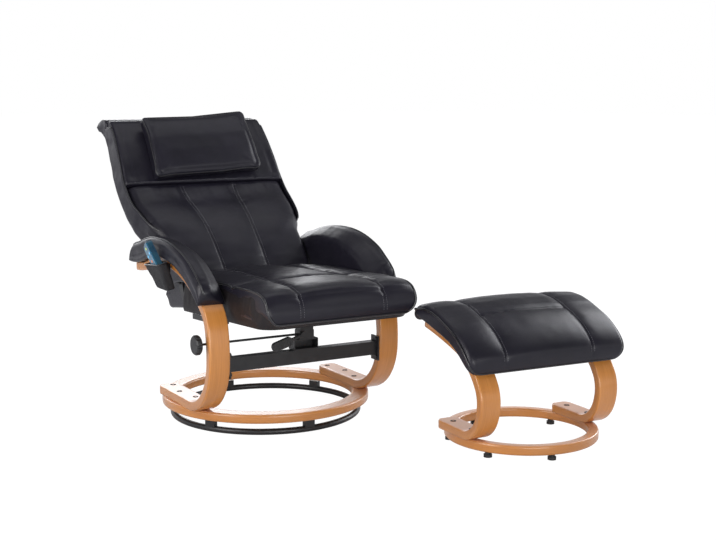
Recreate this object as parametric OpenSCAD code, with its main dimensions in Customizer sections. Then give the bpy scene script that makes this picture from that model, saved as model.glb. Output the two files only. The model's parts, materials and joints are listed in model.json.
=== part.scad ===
// Reflexology chair: a massage recliner on a swivelling bent plywood base, with its ottoman.
// Millimetres. +X is the sitter's left, +Y is behind the chair, +Z is up.
// The origin is the swivel axis at floor level. The backrest is drawn reclined.

/* [Wooden base ring] */
// Width of the wooden ring that shows outside the legs
ring_reach = 10; // [4:1:16]
// Radial width of the wooden ring
ring_w = 52; // [46:1:60]
// Thickness of the wooden ring
ring_t = 27; // [22:1:32]
// Height of the wooden ring's underside above the floor
ring_z = 41; // [38:1:48]
// Rounding of the wooden ring's edges
ring_edge = 5; // [2:0.5:8]

/* [Steel floor ring] */
// Distance from the wooden ring's outer edge in to the middle of the floor ring's tube
floor_ring_inset = 34; // [31:1:38]
// Diameter of the floor ring's tube
tube_d = 19; // [16:1:22]
// Width of a post on the floor ring
post_w = 33; // [26:1:40]
// Radial depth of a post on the floor ring
post_depth = 16; // [14:1:20]
// Radial width of a glide pad
glide_w = 12; // [10:1:14]
// Depth of the groove in which the glide pads run
groove_depth = 6; // [4:0.5:8]
// Running gap between the glide pads and the groove
glide_gap = 0.8; // [0.7:0.1:1.2]
// Number of posts on the floor ring
post_count = 6; // [4:1:8]

/* [Chair legs] */
// Clear gap between the seat cushion and each leg
leg_clear = 13; // [9:1:17]
// Width of a bent plywood leg
leg_w = 65; // [60:1:70]
// Thickness of a leg
leg_t = 27; // [22:1:30]
// Reach of the foot's tip behind the swivel axis
foot_reach = 125; // [110:1:140]
// Flat length of the foot
foot_flat = 240; // [232:1:250]
// Length of the bend from the foot into the upright
foot_bend = 237; // [230:1:245]
// Length of the upright
upright = 105; // [98:1:112]
// Length of the bend from the upright into the arm
shoulder = 65; // [60:1:70]
// Length of the rising and falling stretch of the arm
arm_sweep = 444; // [436:1:450]
// Length of the arm's tail
arm_tail = 114; // [108:1:120]
// Diameter of a foot bolt's shank
bolt_d = 8; // [6:0.5:10]
// Diameter of a foot bolt's head
bolt_head_d = 17; // [14:0.5:20]
// Length of a foot bolt
bolt_len = 46; // [40:1:50]

/* [Arm pads] */
// Width of an arm pad
arm_pad_w = 90; // [80:1:94]
// Thickness of an arm pad over the arm
arm_pad_t = 58; // [48:1:62]
// Overhang of the arm pad behind the wooden arm
arm_pad_over = 26; // [15:1:30]
// Thickness of the panel that covers the inner face of the arm
arm_drape_t = 7; // [5:0.5:7.5]
// Depth of that panel below the arm, down past the top of the seat
arm_drape_h = 84; // [60:1:88]

/* [Crossbar and lock] */
// Height of the crossbar's underside
bar_z = 204; // [195:1:212]
// Height of the crossbar's section
bar_h = 41; // [35:1:45]
// Depth of the crossbar's section
bar_depth = 30; // [25:1:34]
// Distance of the crossbar's rear face in front of the swivel axis
bar_rear = 241; // [237:1:246]
// Width of the lock housing on the crossbar
housing_w = 80; // [70:1:90]
// Height of the lock housing
housing_h = 32; // [28:1:36]
// Height of the clamp block on the lock housing
clamp_h = 26; // [24:1:28]
// Diameter of the lock rod
rod_d = 7; // [6:0.5:9]
// Diameter of the recline knob
knob_d = 58; // [50:1:64]
// Thickness of the recline knob
knob_t = 18; // [15:1:22]
// Length of the lever's paddle
paddle_len = 68; // [60:1:72]
// Width of the lever's paddle
paddle_w = 27; // [22:1:30]
// Thickness of the lever's paddle
paddle_t = 12; // [9:0.5:14]

/* [Seat] */
// Width of the seat cushion
seat_w = 474; // [460:1:476]
// Length of the seat from its front edge to its rear face
seat_len = 592; // [585:1:595]
// Distance of the seat's front lower edge in front of the swivel axis
seat_front = 490; // [480:1:495]
// Height of the seat's front lower edge
seat_front_z = 360; // [355:1:365]
// Thickness of the upholstered seat base
seat_base_t = 17; // [14:1:20]
// Thickness of the seat cushion over the base at the front
seat_cushion_t = 88; // [80:1:95]
// Rise of the seat cushion's middle over its edges
seat_crown = 12; // [6:1:16]
// Distance of a lengthwise seat seam from the middle
seat_seam = 128; // [110:1:140]
// Slope of the seat down towards the back
seat_tilt = 3.3; // [2.5:0.1:4]
// Travel of the seat glide
seat_travel = 60; // [40:5:60]

/* [Backrest] */
// Half of the backrest's greatest width
back_half_w = 287; // [276:1:290]
// Length of the straight lowest stretch of the backrest
back_low = 145; // [140:1:150]
// Length of the lumbar bend
back_lumbar = 150; // [145:1:155]
// Length of the bend into the head panel
back_bend = 170; // [165:1:175]
// Length of the head panel
back_head = 206; // [192:1:208]
// Lean of the lowest stretch of the backrest above the horizontal
back_lean = 42; // [40:0.5:44]
// Thickness of the backrest's foam in front of its board
foam_t = 48; // [40:1:52]
// Thickness of the bent plywood board in the backrest
board_t = 12; // [9:1:14]
// Half of the width of the backrest's board
board_half_w = 195; // [180:1:200]
// Greatest thickness of the backrest
back_depth = 94; // [88:1:100]
// Rise of the back cushion's middle over its edges
back_crown = 10; // [6:1:12]
// Distance of a lengthwise back seam from the middle
back_seam = 80; // [70:1:90]
// Distance of the recline axis behind the swivel axis
hinge_y = 146; // [144:1:150]
// Height of the recline axis
hinge_z = 412; // [408:1:414]
// Diameter of a hinge pin
hinge_pin_d = 12; // [10:1:14]
// Half of the width of the backrest's lower block
block_half_w = 210; // [200:1:211]

/* [Head pillow] */
// Width of the head pillow
pillow_w = 362; // [340:2:380]
// Height of the head pillow along the backrest
pillow_len = 232; // [210:2:240]
// Thickness of the head pillow at its edges
pillow_t = 44; // [34:1:50]
// Distance of the pillow's lower edge over the junction of seat and back, along the back
pillow_start = 426; // [424:1:440]

/* [Remote and pouch] */
// Length of the remote
remote_len = 148; // [140:1:170]
// Width of the remote
remote_w = 46; // [40:1:52]
// Thickness of the remote's body
remote_t = 16; // [14:1:20]
// Width of the pouch
pouch_w = 138; // [132:1:144]
// Height of the pouch
pouch_h = 80; // [76:1:90]
// Depth of the pouch from front to back
pouch_depth = 30; // [27:1:34]
// Wall of the pouch
pouch_wall = 2.5; // [2:0.25:4]

/* [Ottoman] */
// Distance of the ottoman's centre to the sitter's left of the swivel axis
ottoman_x = 494; // [489:1:580]
// Distance of the ottoman's centre in front of the swivel axis
ottoman_y = 678; // [674:1:780]
// Outside diameter of the ottoman's wooden ring
ottoman_ring_d = 446; // [430:1:458]
// Radial width of the ottoman's wooden ring
ottoman_ring_w = 30; // [28:1:40]
// Thickness of the ottoman's wooden ring
ottoman_ring_t = 27; // [22:1:32]
// Height of the glides under the ottoman's ring
ottoman_glide_h = 16; // [12:1:20]
// Clear width between the ottoman's legs
ottoman_leg_gap = 334; // [320:2:338]
// Width of an ottoman leg
ottoman_leg_w = 65; // [60:1:70]
// Thickness of an ottoman leg
ottoman_leg_t = 25; // [22:1:28]
// Width of the ottoman's cushion
ottoman_w = 524; // [500:2:528]
// Thickness of the ottoman's cushion at its edges
ottoman_cushion_t = 49; // [42:1:54]
// Rise of the ottoman cushion's middle over its edges
ottoman_crown = 10; // [6:1:14]
// Thickness of the ottoman's board
ottoman_board_t = 9; // [7:1:12]
// Distance of a lengthwise ottoman seam from the middle
ottoman_seam = 147; // [130:1:158]

/* [Hidden] */

$fn = 64;
// One overrun for every cut
cut = 1;
// Gap that keeps two moving pieces apart
play = 0.3;

// Colours
wood = "burlywood";
steel = [0.12, 0.12, 0.13];
leather = [0.13, 0.13, 0.16];
plastic = [0.1, 0.1, 0.11];
nylon = "whitesmoke";

// Bends of a leg in degrees, one for each of its stretches from the foot's tip
leg_turns = [0, 85, 17, 36.5, 60.5, -18];
leg_lens = [foot_flat, foot_bend, upright, shoulder, arm_sweep, arm_tail];
// Bends of the backrest in degrees, one for each of its stretches from the seat up
back_turns = [0, 15, -32, 18, 0];
back_wing = 95;
back_lens = [back_low, back_lumbar, back_bend, back_head, back_wing];
back_len = back_low + back_lumbar + back_bend + back_head;

// Places along a bent strip: a point and a heading, where 0 degrees is towards the rear
function arc_step(p, h, run, turn, share) =
    let (a = turn * share, r = turn == 0 ? 0 : run * 180 / (turn * PI))
    turn == 0
        ? [p.x + run * share * cos(h), p.y + run * share * sin(h), h]
        : [p.x + r * (sin(h) - sin(h - a)), p.y - r * (cos(h) - cos(h - a)), h - a];

function along(p, h, lens, turns, s, i = 0) =
    (i == len(lens) - 1 || s <= lens[i])
        ? arc_step(p, h, lens[i], turns[i], s / lens[i])
        : let (e = arc_step(p, h, lens[i], turns[i], 1))
            along([e.x, e.y], e.z, lens, turns, s - lens[i], i + 1);

function sum(v, i = 0) = i == len(v) ? 0 : v[i] + sum(v, i + 1);

// The point at a height d on the left of a heading
function beside(f, d) = [f.x - d * sin(f.z), f.y + d * cos(f.z)];

// Outline of a strip that runs from height a to height b over a row of places
function strip(frames, a, b) = concat(
    [for (f = frames) beside(f, a)],
    [for (i = [len(frames) - 1:-1:0]) beside(frames[i], b)]);

// An outline in the side view, drawn across the object from x
module across(x, w) {
    translate([x, 0, 0]) rotate([90, 0, 90]) linear_extrude(height = w) children();
}

module both_sides() {
    children();
    mirror([1, 0, 0]) children();
}

module rounded_box(size, r) {
    linear_extrude(height = size.z) rounded_rect(size.x, size.y, r);
}

module rounded_rect(w, h, r) {
    square([w - 2 * r, h], center = true);
    square([w, h - 2 * r], center = true);
    for (x = [-1, 1], y = [-1, 1]) translate([x * (w / 2 - r), y * (h / 2 - r)]) circle(r);
}

// Corner points of a ring's section with rounded edges
edge_steps = 4;
function rounded_section(x0, x1, z0, z1, r) = [
    for (c = [[x1 - r, z1 - r, 0], [x0 + r, z1 - r, 90], [x0 + r, z0 + r, 180], [x1 - r, z0 + r, 270]],
        k = [0:edge_steps])
        [c.x + r * cos(c.z + 90 * k / edge_steps), c.y + r * sin(c.z + 90 * k / edge_steps)]];

// Soft solids: rings of points over places along a path, closed at both ends by a fan
module skin(rings) {
    n = len(rings[0]);
    m = len(rings);
    points = concat([for (r = rings, p = r) p], [mean(rings[0]), mean(rings[m - 1])]);
    sides = [for (j = [0:m - 2], i = [0:n - 1], half = [0, 1])
        let (a = j * n + i, b = j * n + (i + 1) % n, c = a + n, d = b + n)
        half == 0 ? [a, c, b] : [b, c, d]];
    caps = concat(
        [for (i = [0:n - 1]) [n * m, i, (i + 1) % n]],
        [for (i = [0:n - 1]) [n * m + 1, (m - 1) * n + (i + 1) % n, (m - 1) * n + i]]);
    polyhedron(points, concat(sides, caps), convexity = 8);
}

function mean(v) = [for (k = [0:2]) sum([for (p = v) p[k]]) / len(v)];

function ring_at(f, outline) = [for (q = outline) let (p = beside(f, q.y)) [q.x, p.x, p.y]];

function mirrored(half) = concat(
    half,
    [for (i = [len(half) - 2:-1:1]) [-half[i].x, half[i].y]]);

// Section of a cushion: w half width, from height a to height b, crowned, with a seam at x
corner_share = 0.3;
groove_share = 0.08;
function cushion(w, a, b, crown, seam, dip, r, pull) =
    let (
        e = min(r, (b - a) * 0.45),
        g = seam * groove_share,
        rise = function(x) crown * cos(90 * x / w))
    mirrored([
        [0, a],
        [w * 0.5, a],
        [w - e, a],
        [w - e * corner_share, a + e * corner_share],
        [w - pull, (a + b) / 2],
        [w - e * corner_share, b - e * corner_share],
        [w - e, b],
        [(seam + w - e) / 2, b + rise((seam + w - e) / 2) + dip / 2],
        [seam + g, b + rise(seam)],
        [seam, b + rise(seam) - dip],
        [seam - g, b + rise(seam)],
        [seam / 2, b + rise(seam / 2) + dip / 2],
        [0, b + crown]]);

// Chair leg and arm in one bent plywood strip
ring_top = ring_z + ring_t;
leg_x = seat_w / 2 + leg_clear;
leg_mid = leg_x + leg_w / 2;
ring_d = 2 * (leg_x + leg_w + ring_reach);
floor_ring_d = ring_d - 2 * floor_ring_inset;
leg_start = [foot_reach, ring_top + leg_t / 2];
leg_steps = 110;
leg_len = sum(leg_lens);
function leg_at(s) = along(leg_start, 180, leg_lens, leg_turns, s);
leg_frames = [for (k = [0:leg_steps]) leg_at(leg_len * k / leg_steps)];
foot_corner = 22;
foot_bolt_shares = [0.776, 0.04, -0.664];

module foot_bolt_places() {
    for (share = foot_bolt_shares)
        translate([leg_mid + (share == foot_bolt_shares[1] ? bolt_d : -bolt_d), foot_reach * share, ring_top + leg_t])
            children();
}

module leg() {
    difference() {
        across(leg_x, leg_w) polygon(strip(leg_frames, leg_t / 2, -leg_t / 2));
        foot_bolt_places() bolt_hole(leg_t);
        arm_screw_places() arm_screw();
        flange_bolt_places() cylinder(d = bolt_d, h = flange_bolt_len + cut);
        foot_tip_cut(leg_x, leg_w, foot_reach, ring_top - cut, leg_t + 2 * cut, foot_corner);
    }
}

// What rounds off the two corners of a foot's tip
module foot_tip_cut(x, w, tip, z, h, r) {
    for (side = [0, 1])
        translate([x + side * w, tip, z]) mirror([side, 0, 0])
            difference() {
                translate([-cut, -r, 0]) cube([r + cut, r + cut, h]);
                translate([r, -r, -cut]) cylinder(r = r, h = h + 2 * cut);
            }
}

module bolt_hole(depth) {
    translate([0, 0, -depth - cut]) cylinder(d = bolt_d, h = depth + 2 * cut);
    bolt_sink = bolt_head_d / 2 - bolt_d / 2;
    translate([0, 0, -bolt_sink]) cylinder(d1 = bolt_d, d2 = bolt_head_d, h = bolt_sink);
    cylinder(d = bolt_head_d, h = cut);
}

module bolt(length) {
    sink = bolt_head_d / 2 - bolt_d / 2;
    socket_d = bolt_d * 0.75;
    difference() {
        union() {
            translate([0, 0, -length]) cylinder(d = bolt_d, h = length);
            translate([0, 0, -sink]) cylinder(d1 = bolt_d, d2 = bolt_head_d, h = sink);
        }
        translate([0, 0, -sink * 0.8]) cylinder(d = socket_d, h = sink, $fn = 6);
    }
}

module leg_right() { color(wood) mirror([1, 0, 0]) leg(); }
module leg_left() { color(wood) leg(); }
module foot_bolts() { color(steel) both_sides() foot_bolt_places() bolt(bolt_len); }

// Wooden ring with the groove for the glide pads
module base_ring() {
    groove_w = glide_w + 2 * glide_gap;
    color(wood) difference() {
        rotate_extrude() polygon(rounded_section(ring_d / 2 - ring_w, ring_d / 2, ring_z, ring_top, ring_edge));
        rotate_extrude() translate([floor_ring_d / 2 - groove_w / 2, ring_z - cut])
            square([groove_w, groove_depth + cut]);
        both_sides() foot_bolt_places() translate([0, 0, -bolt_len]) cylinder(d = bolt_d, h = bolt_len);
    }
}

// Steel ring on the floor, ground flat where it rests
tube_flat = 0.5;
tube_z = tube_d / 2 - tube_flat;
module floor_ring() {
    color(steel) rotate_extrude() translate([floor_ring_d / 2, tube_z]) difference() {
        circle(d = tube_d);
        translate([-tube_d, -tube_z - tube_d]) square([2 * tube_d, tube_d]);
    }
}

post_top = ring_z - 5;
module ring_places() {
    for (k = [0:post_count - 1]) rotate(30 + 360 * k / post_count) translate([floor_ring_d / 2, 0, 0]) children();
}

module ring_posts() {
    bow = floor_ring_d / 2 - sqrt(floor_ring_d * floor_ring_d - post_w * post_w) / 2;
    color(steel) ring_places() difference() {
        translate([-post_depth / 2, -post_w / 2, tube_z]) cube([post_depth, post_w, post_top - tube_z]);
        translate([-bow / 2, 0, tube_z]) rotate([90, 0, 0]) cylinder(d = tube_d + bow, h = post_w + 2 * cut, center = true);
    }
}

module glide_pads() {
    pad_h = ring_z + groove_depth - play - post_top;
    color(nylon) ring_places() translate([-glide_w / 2, -post_w / 2, post_top]) cube([glide_w, post_w, pad_h]);
}

// Arm pads: a padded cover on the wooden arm, with a panel down its inner face
pad_setback = 4;
pad_start = foot_flat + foot_bend + upright + shoulder + pad_setback;
pad_place_shares = [0, 0.012, 0.035, 0.07, 0.11, 0.15, 0.195, 0.24, 0.285, 0.33, 0.375, 0.42, 0.465, 0.51, 0.555, 0.6,
    0.645, 0.69, 0.735, 0.78, 0.84, 0.9, 0.94, 0.97, 0.99, 1];
pad_height_shares = [[0, 0.28], [0.012, 0.52], [0.035, 0.7], [0.09, 0.87], [0.15, 0.95], [0.22, 1], [0.5, 1], [0.6, 1.04],
    [0.7, 1.1], [0.8, 1.13], [0.88, 1.12], [0.93, 1.04], [0.965, 0.88], [0.99, 0.58], [1, 0.3]];
pad_drop_shares = [[0, 0.03], [0.05, 0.15], [0.12, 0.42], [0.25, 0.85], [0.35, 1], [0.8, 1], [0.9, 0.7], [0.97, 0.35], [1, 0.1]];

// Section of an arm pad: t over the arm, drop down the arm's inner face
function pad_section(t, drop, inset) =
    let (x0 = leg_x - arm_drape_t, x1 = x0 + arm_pad_w, seat = leg_t / 2 + 2 * play, top = leg_t / 2 + t, side = leg_x - play,
        r = min(t * 0.5, 22))
    [
        [side, seat],
        [side, seat - drop],
        [x0 + arm_drape_t * 0.35, seat - drop],
        [x0 + inset * 0.1, seat - drop * 0.85],
        [x0 + inset * 0.2, seat + t * 0.2],
        [x0 + inset * 0.5, top - r * 1.5],
        [x0 + r * 0.35 + inset, top - r * 0.75],
        [x0 + r + inset, top - r * 0.25],
        [(x0 + x1) / 2 - r * 0.3, top + t * 0.02],
        [x1 - r - inset, top],
        [x1 - r * 0.3 - inset, top - r * 0.22],
        [x1 - inset * 0.4, top - r * 0.8],
        [x1 - t * 0.05 - inset * 0.2, seat + t * 0.35],
        [x1 - inset * 0.3, seat + t * 0.08],
        [x1 - t * 0.1 - inset * 0.3, seat]];

module arm_pad() {
    run = leg_len + arm_pad_over - pad_start;
    skin([for (q = pad_place_shares) let (h = lookup(q, pad_height_shares))
        ring_at(leg_at(pad_start + run * q),
            pad_section(arm_pad_t * h, arm_drape_h * lookup(q, pad_drop_shares), arm_pad_t * 0.3 * (1 - min(h, 1))))]);
}

module arm_pad_left() { color(leather) difference() { arm_pad(); arm_screw_places() arm_screw(); } }
module arm_pad_right() { color(leather) mirror([1, 0, 0]) difference() { arm_pad(); arm_screw_places() arm_screw(); } }

// Screws that hold the arm pads from under the arms
arm_screw_shares = [0.62, 0.92];
arm_screw_d = 5;
module arm_screw_places() {
    for (share = arm_screw_shares) {
        f = leg_at(pad_start + (leg_len - pad_start) * share);
        translate([leg_mid, f.x, f.y]) rotate([f.z, 0, 0]) children();
    }
}

module arm_screw() {
    head_h = arm_screw_d * 0.6;
    translate([0, 0, -leg_t / 2 - head_h]) cylinder(d = 2 * arm_screw_d, h = head_h);
    translate([0, 0, -leg_t / 2]) cylinder(d = arm_screw_d, h = leg_t + arm_pad_t * 0.3);
}

module arm_screws() { color(steel) both_sides() arm_screw_places() arm_screw(); }

// Crossbar between the legs, its flanges and their bolts
flange_t = 5;
flange_h = 76;
flange_depth = 41;
bar_mid = [-bar_rear - bar_depth / 2, bar_z + bar_h / 2];
bar_half = leg_x - flange_t;
module crossbar() {
    wall = 2.5;
    color(steel) difference() {
        translate([-bar_half, -bar_rear - bar_depth, bar_z]) cube([2 * bar_half, bar_depth, bar_h]);
        translate([-bar_half - cut, -bar_rear - bar_depth + wall, bar_z + wall])
            cube([2 * bar_half + 2 * cut, bar_depth - 2 * wall, bar_h - 2 * wall]);
    }
}

flange_front = -bar_rear - flange_depth;
module flange_bolt_places() {
    for (z = [-0.36, 0.36])
        translate([bar_half, flange_front + flange_depth * 0.24, bar_mid.y + flange_h * z]) rotate([0, 90, 0]) children();
}

module crossbar_flanges() {
    color(steel) both_sides() difference() {
        translate([bar_half, flange_front, bar_mid.y - flange_h / 2]) cube([flange_t, flange_depth, flange_h]);
        flange_bolt_places() translate([0, 0, -cut]) cylinder(d = bolt_d, h = flange_t + 2 * cut);
    }
}

flange_bolt_len = 24;
module flange_bolts() {
    color(steel) both_sides() flange_bolt_places() {
        translate([0, 0, -bolt_d * 0.5]) cylinder(d = bolt_head_d * 0.85, h = bolt_d * 0.5, $fn = 6);
        cylinder(d = bolt_d, h = flange_bolt_len);
    }
}

// Lock housing and clamp block on the crossbar
lock_x = 4;
lock_y = -bar_rear - bar_depth;
housing_depth = 37;
clamp_w = 48;
clamp_x = lock_x + 2;
clamp_depth = 32;
clamp_z = bar_z + bar_h + housing_h;
rod_y = -253;
rod_z = clamp_z + clamp_h / 2;
module lock_housing() {
    wall = 3;
    color(steel) difference() {
        translate([lock_x - housing_w / 2, lock_y, bar_z + bar_h]) cube([housing_w, housing_depth, housing_h]);
        translate([lock_x - housing_w / 2 + wall, lock_y - cut, bar_z + bar_h + wall])
            cube([housing_w - 2 * wall, housing_depth - wall + cut, housing_h - 2 * wall]);
    }
}

rod_in = 30;
module clamp_block() {
    color(steel) difference() {
        translate([clamp_x - clamp_w / 2, lock_y, clamp_z]) cube([clamp_w, clamp_depth, clamp_h]);
        translate([clamp_x - clamp_w / 2 - cut, rod_y, rod_z]) rotate([0, 90, 0])
            cylinder(d = rod_d + play, h = rod_in + 2 * cut);
        translate([lever_x, lock_y - cut, lever_z]) rotate([-90, 0, 0]) cylinder(d = lever_pin_d + play, h = lever_pin_in + cut);
    }
}

// Lock rod behind the right leg, its guide and the lobed knob
knob_inner = -leg_x - leg_w - 15;
guide_w = 22;
guide_x = -leg_mid - guide_w / 2;
guide_depth = 14;
module rod_guide() {
    leg_rear = beside(leg_at(foot_flat + foot_bend + upright * 0.75), -leg_t / 2).x;
    color(plastic) difference() {
        translate([guide_x, leg_rear, rod_z - guide_depth / 2]) cube([guide_w, rod_y + rod_d - leg_rear, guide_depth]);
        translate([guide_x - cut, rod_y, rod_z]) rotate([0, 90, 0]) cylinder(d = rod_d + play, h = guide_w + 2 * cut);
        across(-leg_x - leg_w - cut, leg_w + 2 * cut) polygon(strip(leg_frames, leg_t / 2, -leg_t / 2));
    }
}

module lock_rod() {
    color(steel) translate([knob_inner, rod_y, rod_z]) rotate([0, 90, 0])
        cylinder(d = rod_d, h = clamp_x - clamp_w / 2 + rod_in - knob_inner);
}

lobes = 8;
module recline_knob() {
    boss_d = 16;
    boss_h = 6;
    lobe_d = 14;
    edge = 4;
    color(plastic) translate([knob_inner, rod_y, rod_z]) rotate([0, -90, 0]) difference() {
        union() {
            translate([0, 0, -boss_h]) cylinder(d = boss_d, h = boss_h);
            cylinder(d1 = knob_d - 2 * edge, d2 = knob_d, h = edge);
            translate([0, 0, edge]) cylinder(d = knob_d, h = knob_t - 2 * edge);
            translate([0, 0, knob_t - edge]) cylinder(d1 = knob_d, d2 = knob_d - 2 * edge, h = edge);
        }
        for (k = [0:lobes - 1]) rotate(360 * k / lobes) translate([knob_d / 2 + lobe_d * 0.3, 0, -cut])
            cylinder(d = lobe_d, h = knob_t + 2 * cut);
        translate([0, 0, -boss_h - cut]) cylinder(d = rod_d, h = boss_h + cut);
    }
}

// Release lever in front of the clamp block
lever_pin_d = 8;
lever_pin_in = 12;
lever_x = clamp_x - clamp_w / 2 + 10;
lever_z = clamp_z + 15;
lever_t = 8;
lever_y = lock_y - play;
lever_drop = 17;
lever_reach = 40;
module lever_arm() {
    boss_d = 18;
    color(steel) {
        translate([lever_x, lever_y + lever_pin_in, lever_z]) rotate([90, 0, 0]) cylinder(d = lever_pin_d, h = lever_pin_in);
        translate([lever_x, lever_y, lever_z]) rotate([90, 0, 0]) cylinder(d = boss_d, h = lever_t);
        translate([lever_x, lever_y, lever_z]) rotate([90, -lever_drop, 0])
            translate([-lever_reach, -lever_pin_d / 2, play]) cube([lever_reach, lever_pin_d, lever_t - 2 * play]);
    }
}

paddle_ribs = 6;
module lever_paddle() {
    rib = 2;
    color(plastic) translate([lever_x, lever_y - play, lever_z]) rotate([90, -lever_drop, 0])
        translate([-lever_reach - paddle_len / 2, 0, 0]) {
            difference() {
                rounded_box([paddle_len, paddle_w, paddle_t], paddle_w * 0.45);
                for (k = [0:paddle_ribs - 1])
                    translate([paddle_len * (0.3 - 0.11 * k), -paddle_w, paddle_t - rib / 2])
                        cube([rib, 2 * paddle_w, rib]);
            }
        }
}

// The seat's own frame: its origin is the front lower edge, and it slopes down to the rear
module on_seat() {
    translate([0, -seat_front, seat_front_z]) rotate([-seat_tilt, 0, 0]) children();
}

function seat_at(s) = [-seat_front + s * cos(seat_tilt), seat_front_z - s * sin(seat_tilt), -seat_tilt];

frame_t = 5;
rail_h = 12;
riser_h = 20;
rail_w = 24;
rail_x = 190;
rail_wall = 3;
rail_len = 225;
plate_len = 155;
rail_end = seat_len + 4;
runner_len = 135;
runner_h = rail_h + rail_h - rail_wall - play;
frame_z = -2 * rail_h - frame_t;
neck_w = 44;
neck_start = 218;
module support_frame() {
    wide_start = rail_end - plate_len;
    half = rail_x + rail_w / 2;
    color(steel) {
        on_seat() translate([clamp_x - neck_w / 2, neck_start, frame_z]) cube([neck_w, wide_start - neck_start, frame_t]);
        on_seat() translate([-half, wide_start, frame_z]) cube([2 * half, plate_len, frame_t]);
        difference() {
            translate([clamp_x - neck_w / 2, lock_y, clamp_z + clamp_h]) cube([neck_w, clamp_depth, riser_h]);
            on_seat() translate([-seat_w, 0, frame_z + cut]) cube([2 * seat_w, seat_len, riser_h + rail_w]);
        }
    }
}

module slide_rails() {
    color(steel) on_seat() both_sides() translate([rail_x - rail_w / 2, rail_end - rail_len, -2 * rail_h]) difference() {
        cube([rail_w, rail_len, rail_h]);
        translate([rail_wall, -cut, rail_wall]) cube([rail_w - 2 * rail_wall, rail_len + 2 * cut, rail_h]);
    }
}

module seat_runners() {
    runner_w = rail_w - 2 * rail_wall - 2 * play;
    flat_w = rail_w + rail_wall;
    start = rail_end - rail_len + rail_w;
    color(nylon) on_seat() both_sides() {
        translate([rail_x - runner_w / 2, start, -runner_h]) cube([runner_w, runner_len, runner_h]);
        translate([rail_x - flat_w / 2, start, -rail_h + play]) cube([flat_w, runner_len, rail_h - play]);
    }
}

// Control box and power inlet under the support frame
box_w = 120;
box_len = 78;
box_h = 18;
box_start = rail_end - 84;
module control_box() {
    wall = 2;
    color(plastic) on_seat() difference() {
        translate([-box_w / 2, box_start, frame_z - box_h]) cube([box_w, box_len, box_h]);
        translate([-box_w / 2 + wall, box_start + wall, frame_z - box_h + wall])
            cube([box_w - 2 * wall, box_len - 2 * wall, box_h - 2 * wall]);
        translate([0, box_start + box_len - wall - cut, frame_z - box_h / 2]) rotate([-90, 0, 0])
            cylinder(d = inlet_d, h = wall + 2 * cut);
    }
}

inlet_d = 12;
inlet_len = 10;
module power_inlet() {
    pin_hole = 5.5;
    color(plastic) on_seat() translate([0, box_start + box_len - inlet_len, frame_z - box_h / 2]) rotate([-90, 0, 0])
        difference() {
            cylinder(d = inlet_d, h = inlet_len + frame_t);
            translate([0, 0, frame_t]) cylinder(d = pin_hole, h = inlet_len + cut);
        }
}

// Seat base: a rounded board under the cushion
seat_corner = 55;
module seat_base() {
    half = seat_w / 2 - seat_base_t * 0.25;
    color(leather) on_seat() linear_extrude(height = seat_base_t) {
        translate([-half, seat_corner]) square([2 * half, seat_len - bracket_foot - seat_corner]);
        translate([-bracket_x, seat_corner]) square([2 * bracket_x, seat_len - seat_corner]);
        translate([-half + seat_corner, 0]) square([2 * (half - seat_corner), seat_corner + cut]);
        for (x = [-1, 1]) translate([x * (half - seat_corner), seat_corner]) circle(seat_corner);
    }
}

// Seat cushion: [share of the length, share of the width, bottom, top] for each station
seat_station_shares = [
    [-0.038, 0.66, 0.1, 0.32], [-0.036, 0.88, 0.04, 0.46], [-0.029, 0.965, 0.01, 0.6], [-0.015, 1, 0, 0.76],
    [0.005, 1.012, 0, 0.87], [0.035, 1.015, 0, 0.94], [0.08, 1.015, 0, 0.985], [0.15, 1.01, 0, 1],
    [0.25, 1, 0, 1.03], [0.335, 1, 0, 1.04], [0.346, 1, 0, 1], [0.357, 1, 0, 1.04],
    [0.43, 0.995, 0, 1.06], [0.5, 0.993, 0, 1.08], [0.65, 0.99, 0, 1.1], [0.8, 0.985, 0, 1.12], [0.92, 0.98, 0, 1.12],
    [0.97, 0.975, 0, 1.08], [0.99, 0.965, 0, 1], [1, 0.95, 0.01, 0.9]];
module seat_cushion() {
    color(leather) difference() {
        skin([for (q = seat_station_shares)
            ring_at(seat_at(seat_len * q[0]),
                cushion(seat_w / 2 * q[1], seat_base_t + play + seat_cushion_t * q[2], seat_base_t + seat_cushion_t * q[3],
                    seat_crown * min(1, q[3]), seat_seam * q[1], seat_crown * 0.5, seat_cushion_t * 0.26,
                    seat_crown * 0.15))]);
        seat_motor_places() cylinder(d = motor_d + play, h = motor_h + play);
    }
}

// Vibration motors: flat cans with a lead boss
motor_d = 52;
motor_h = 18;
module motor() {
    cylinder(d = motor_d, h = motor_h * 0.8);
    cylinder(d = motor_d * 0.4, h = motor_h);
}

module seat_motor_places() {
    on_seat() for (x = [-1, 1], y = [0.45, 0.7])
        translate([x * seat_seam * 0.75, seat_len * y, seat_base_t]) children();
}

module seat_motors() { color("dimgray") seat_motor_places() motor(); }

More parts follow.
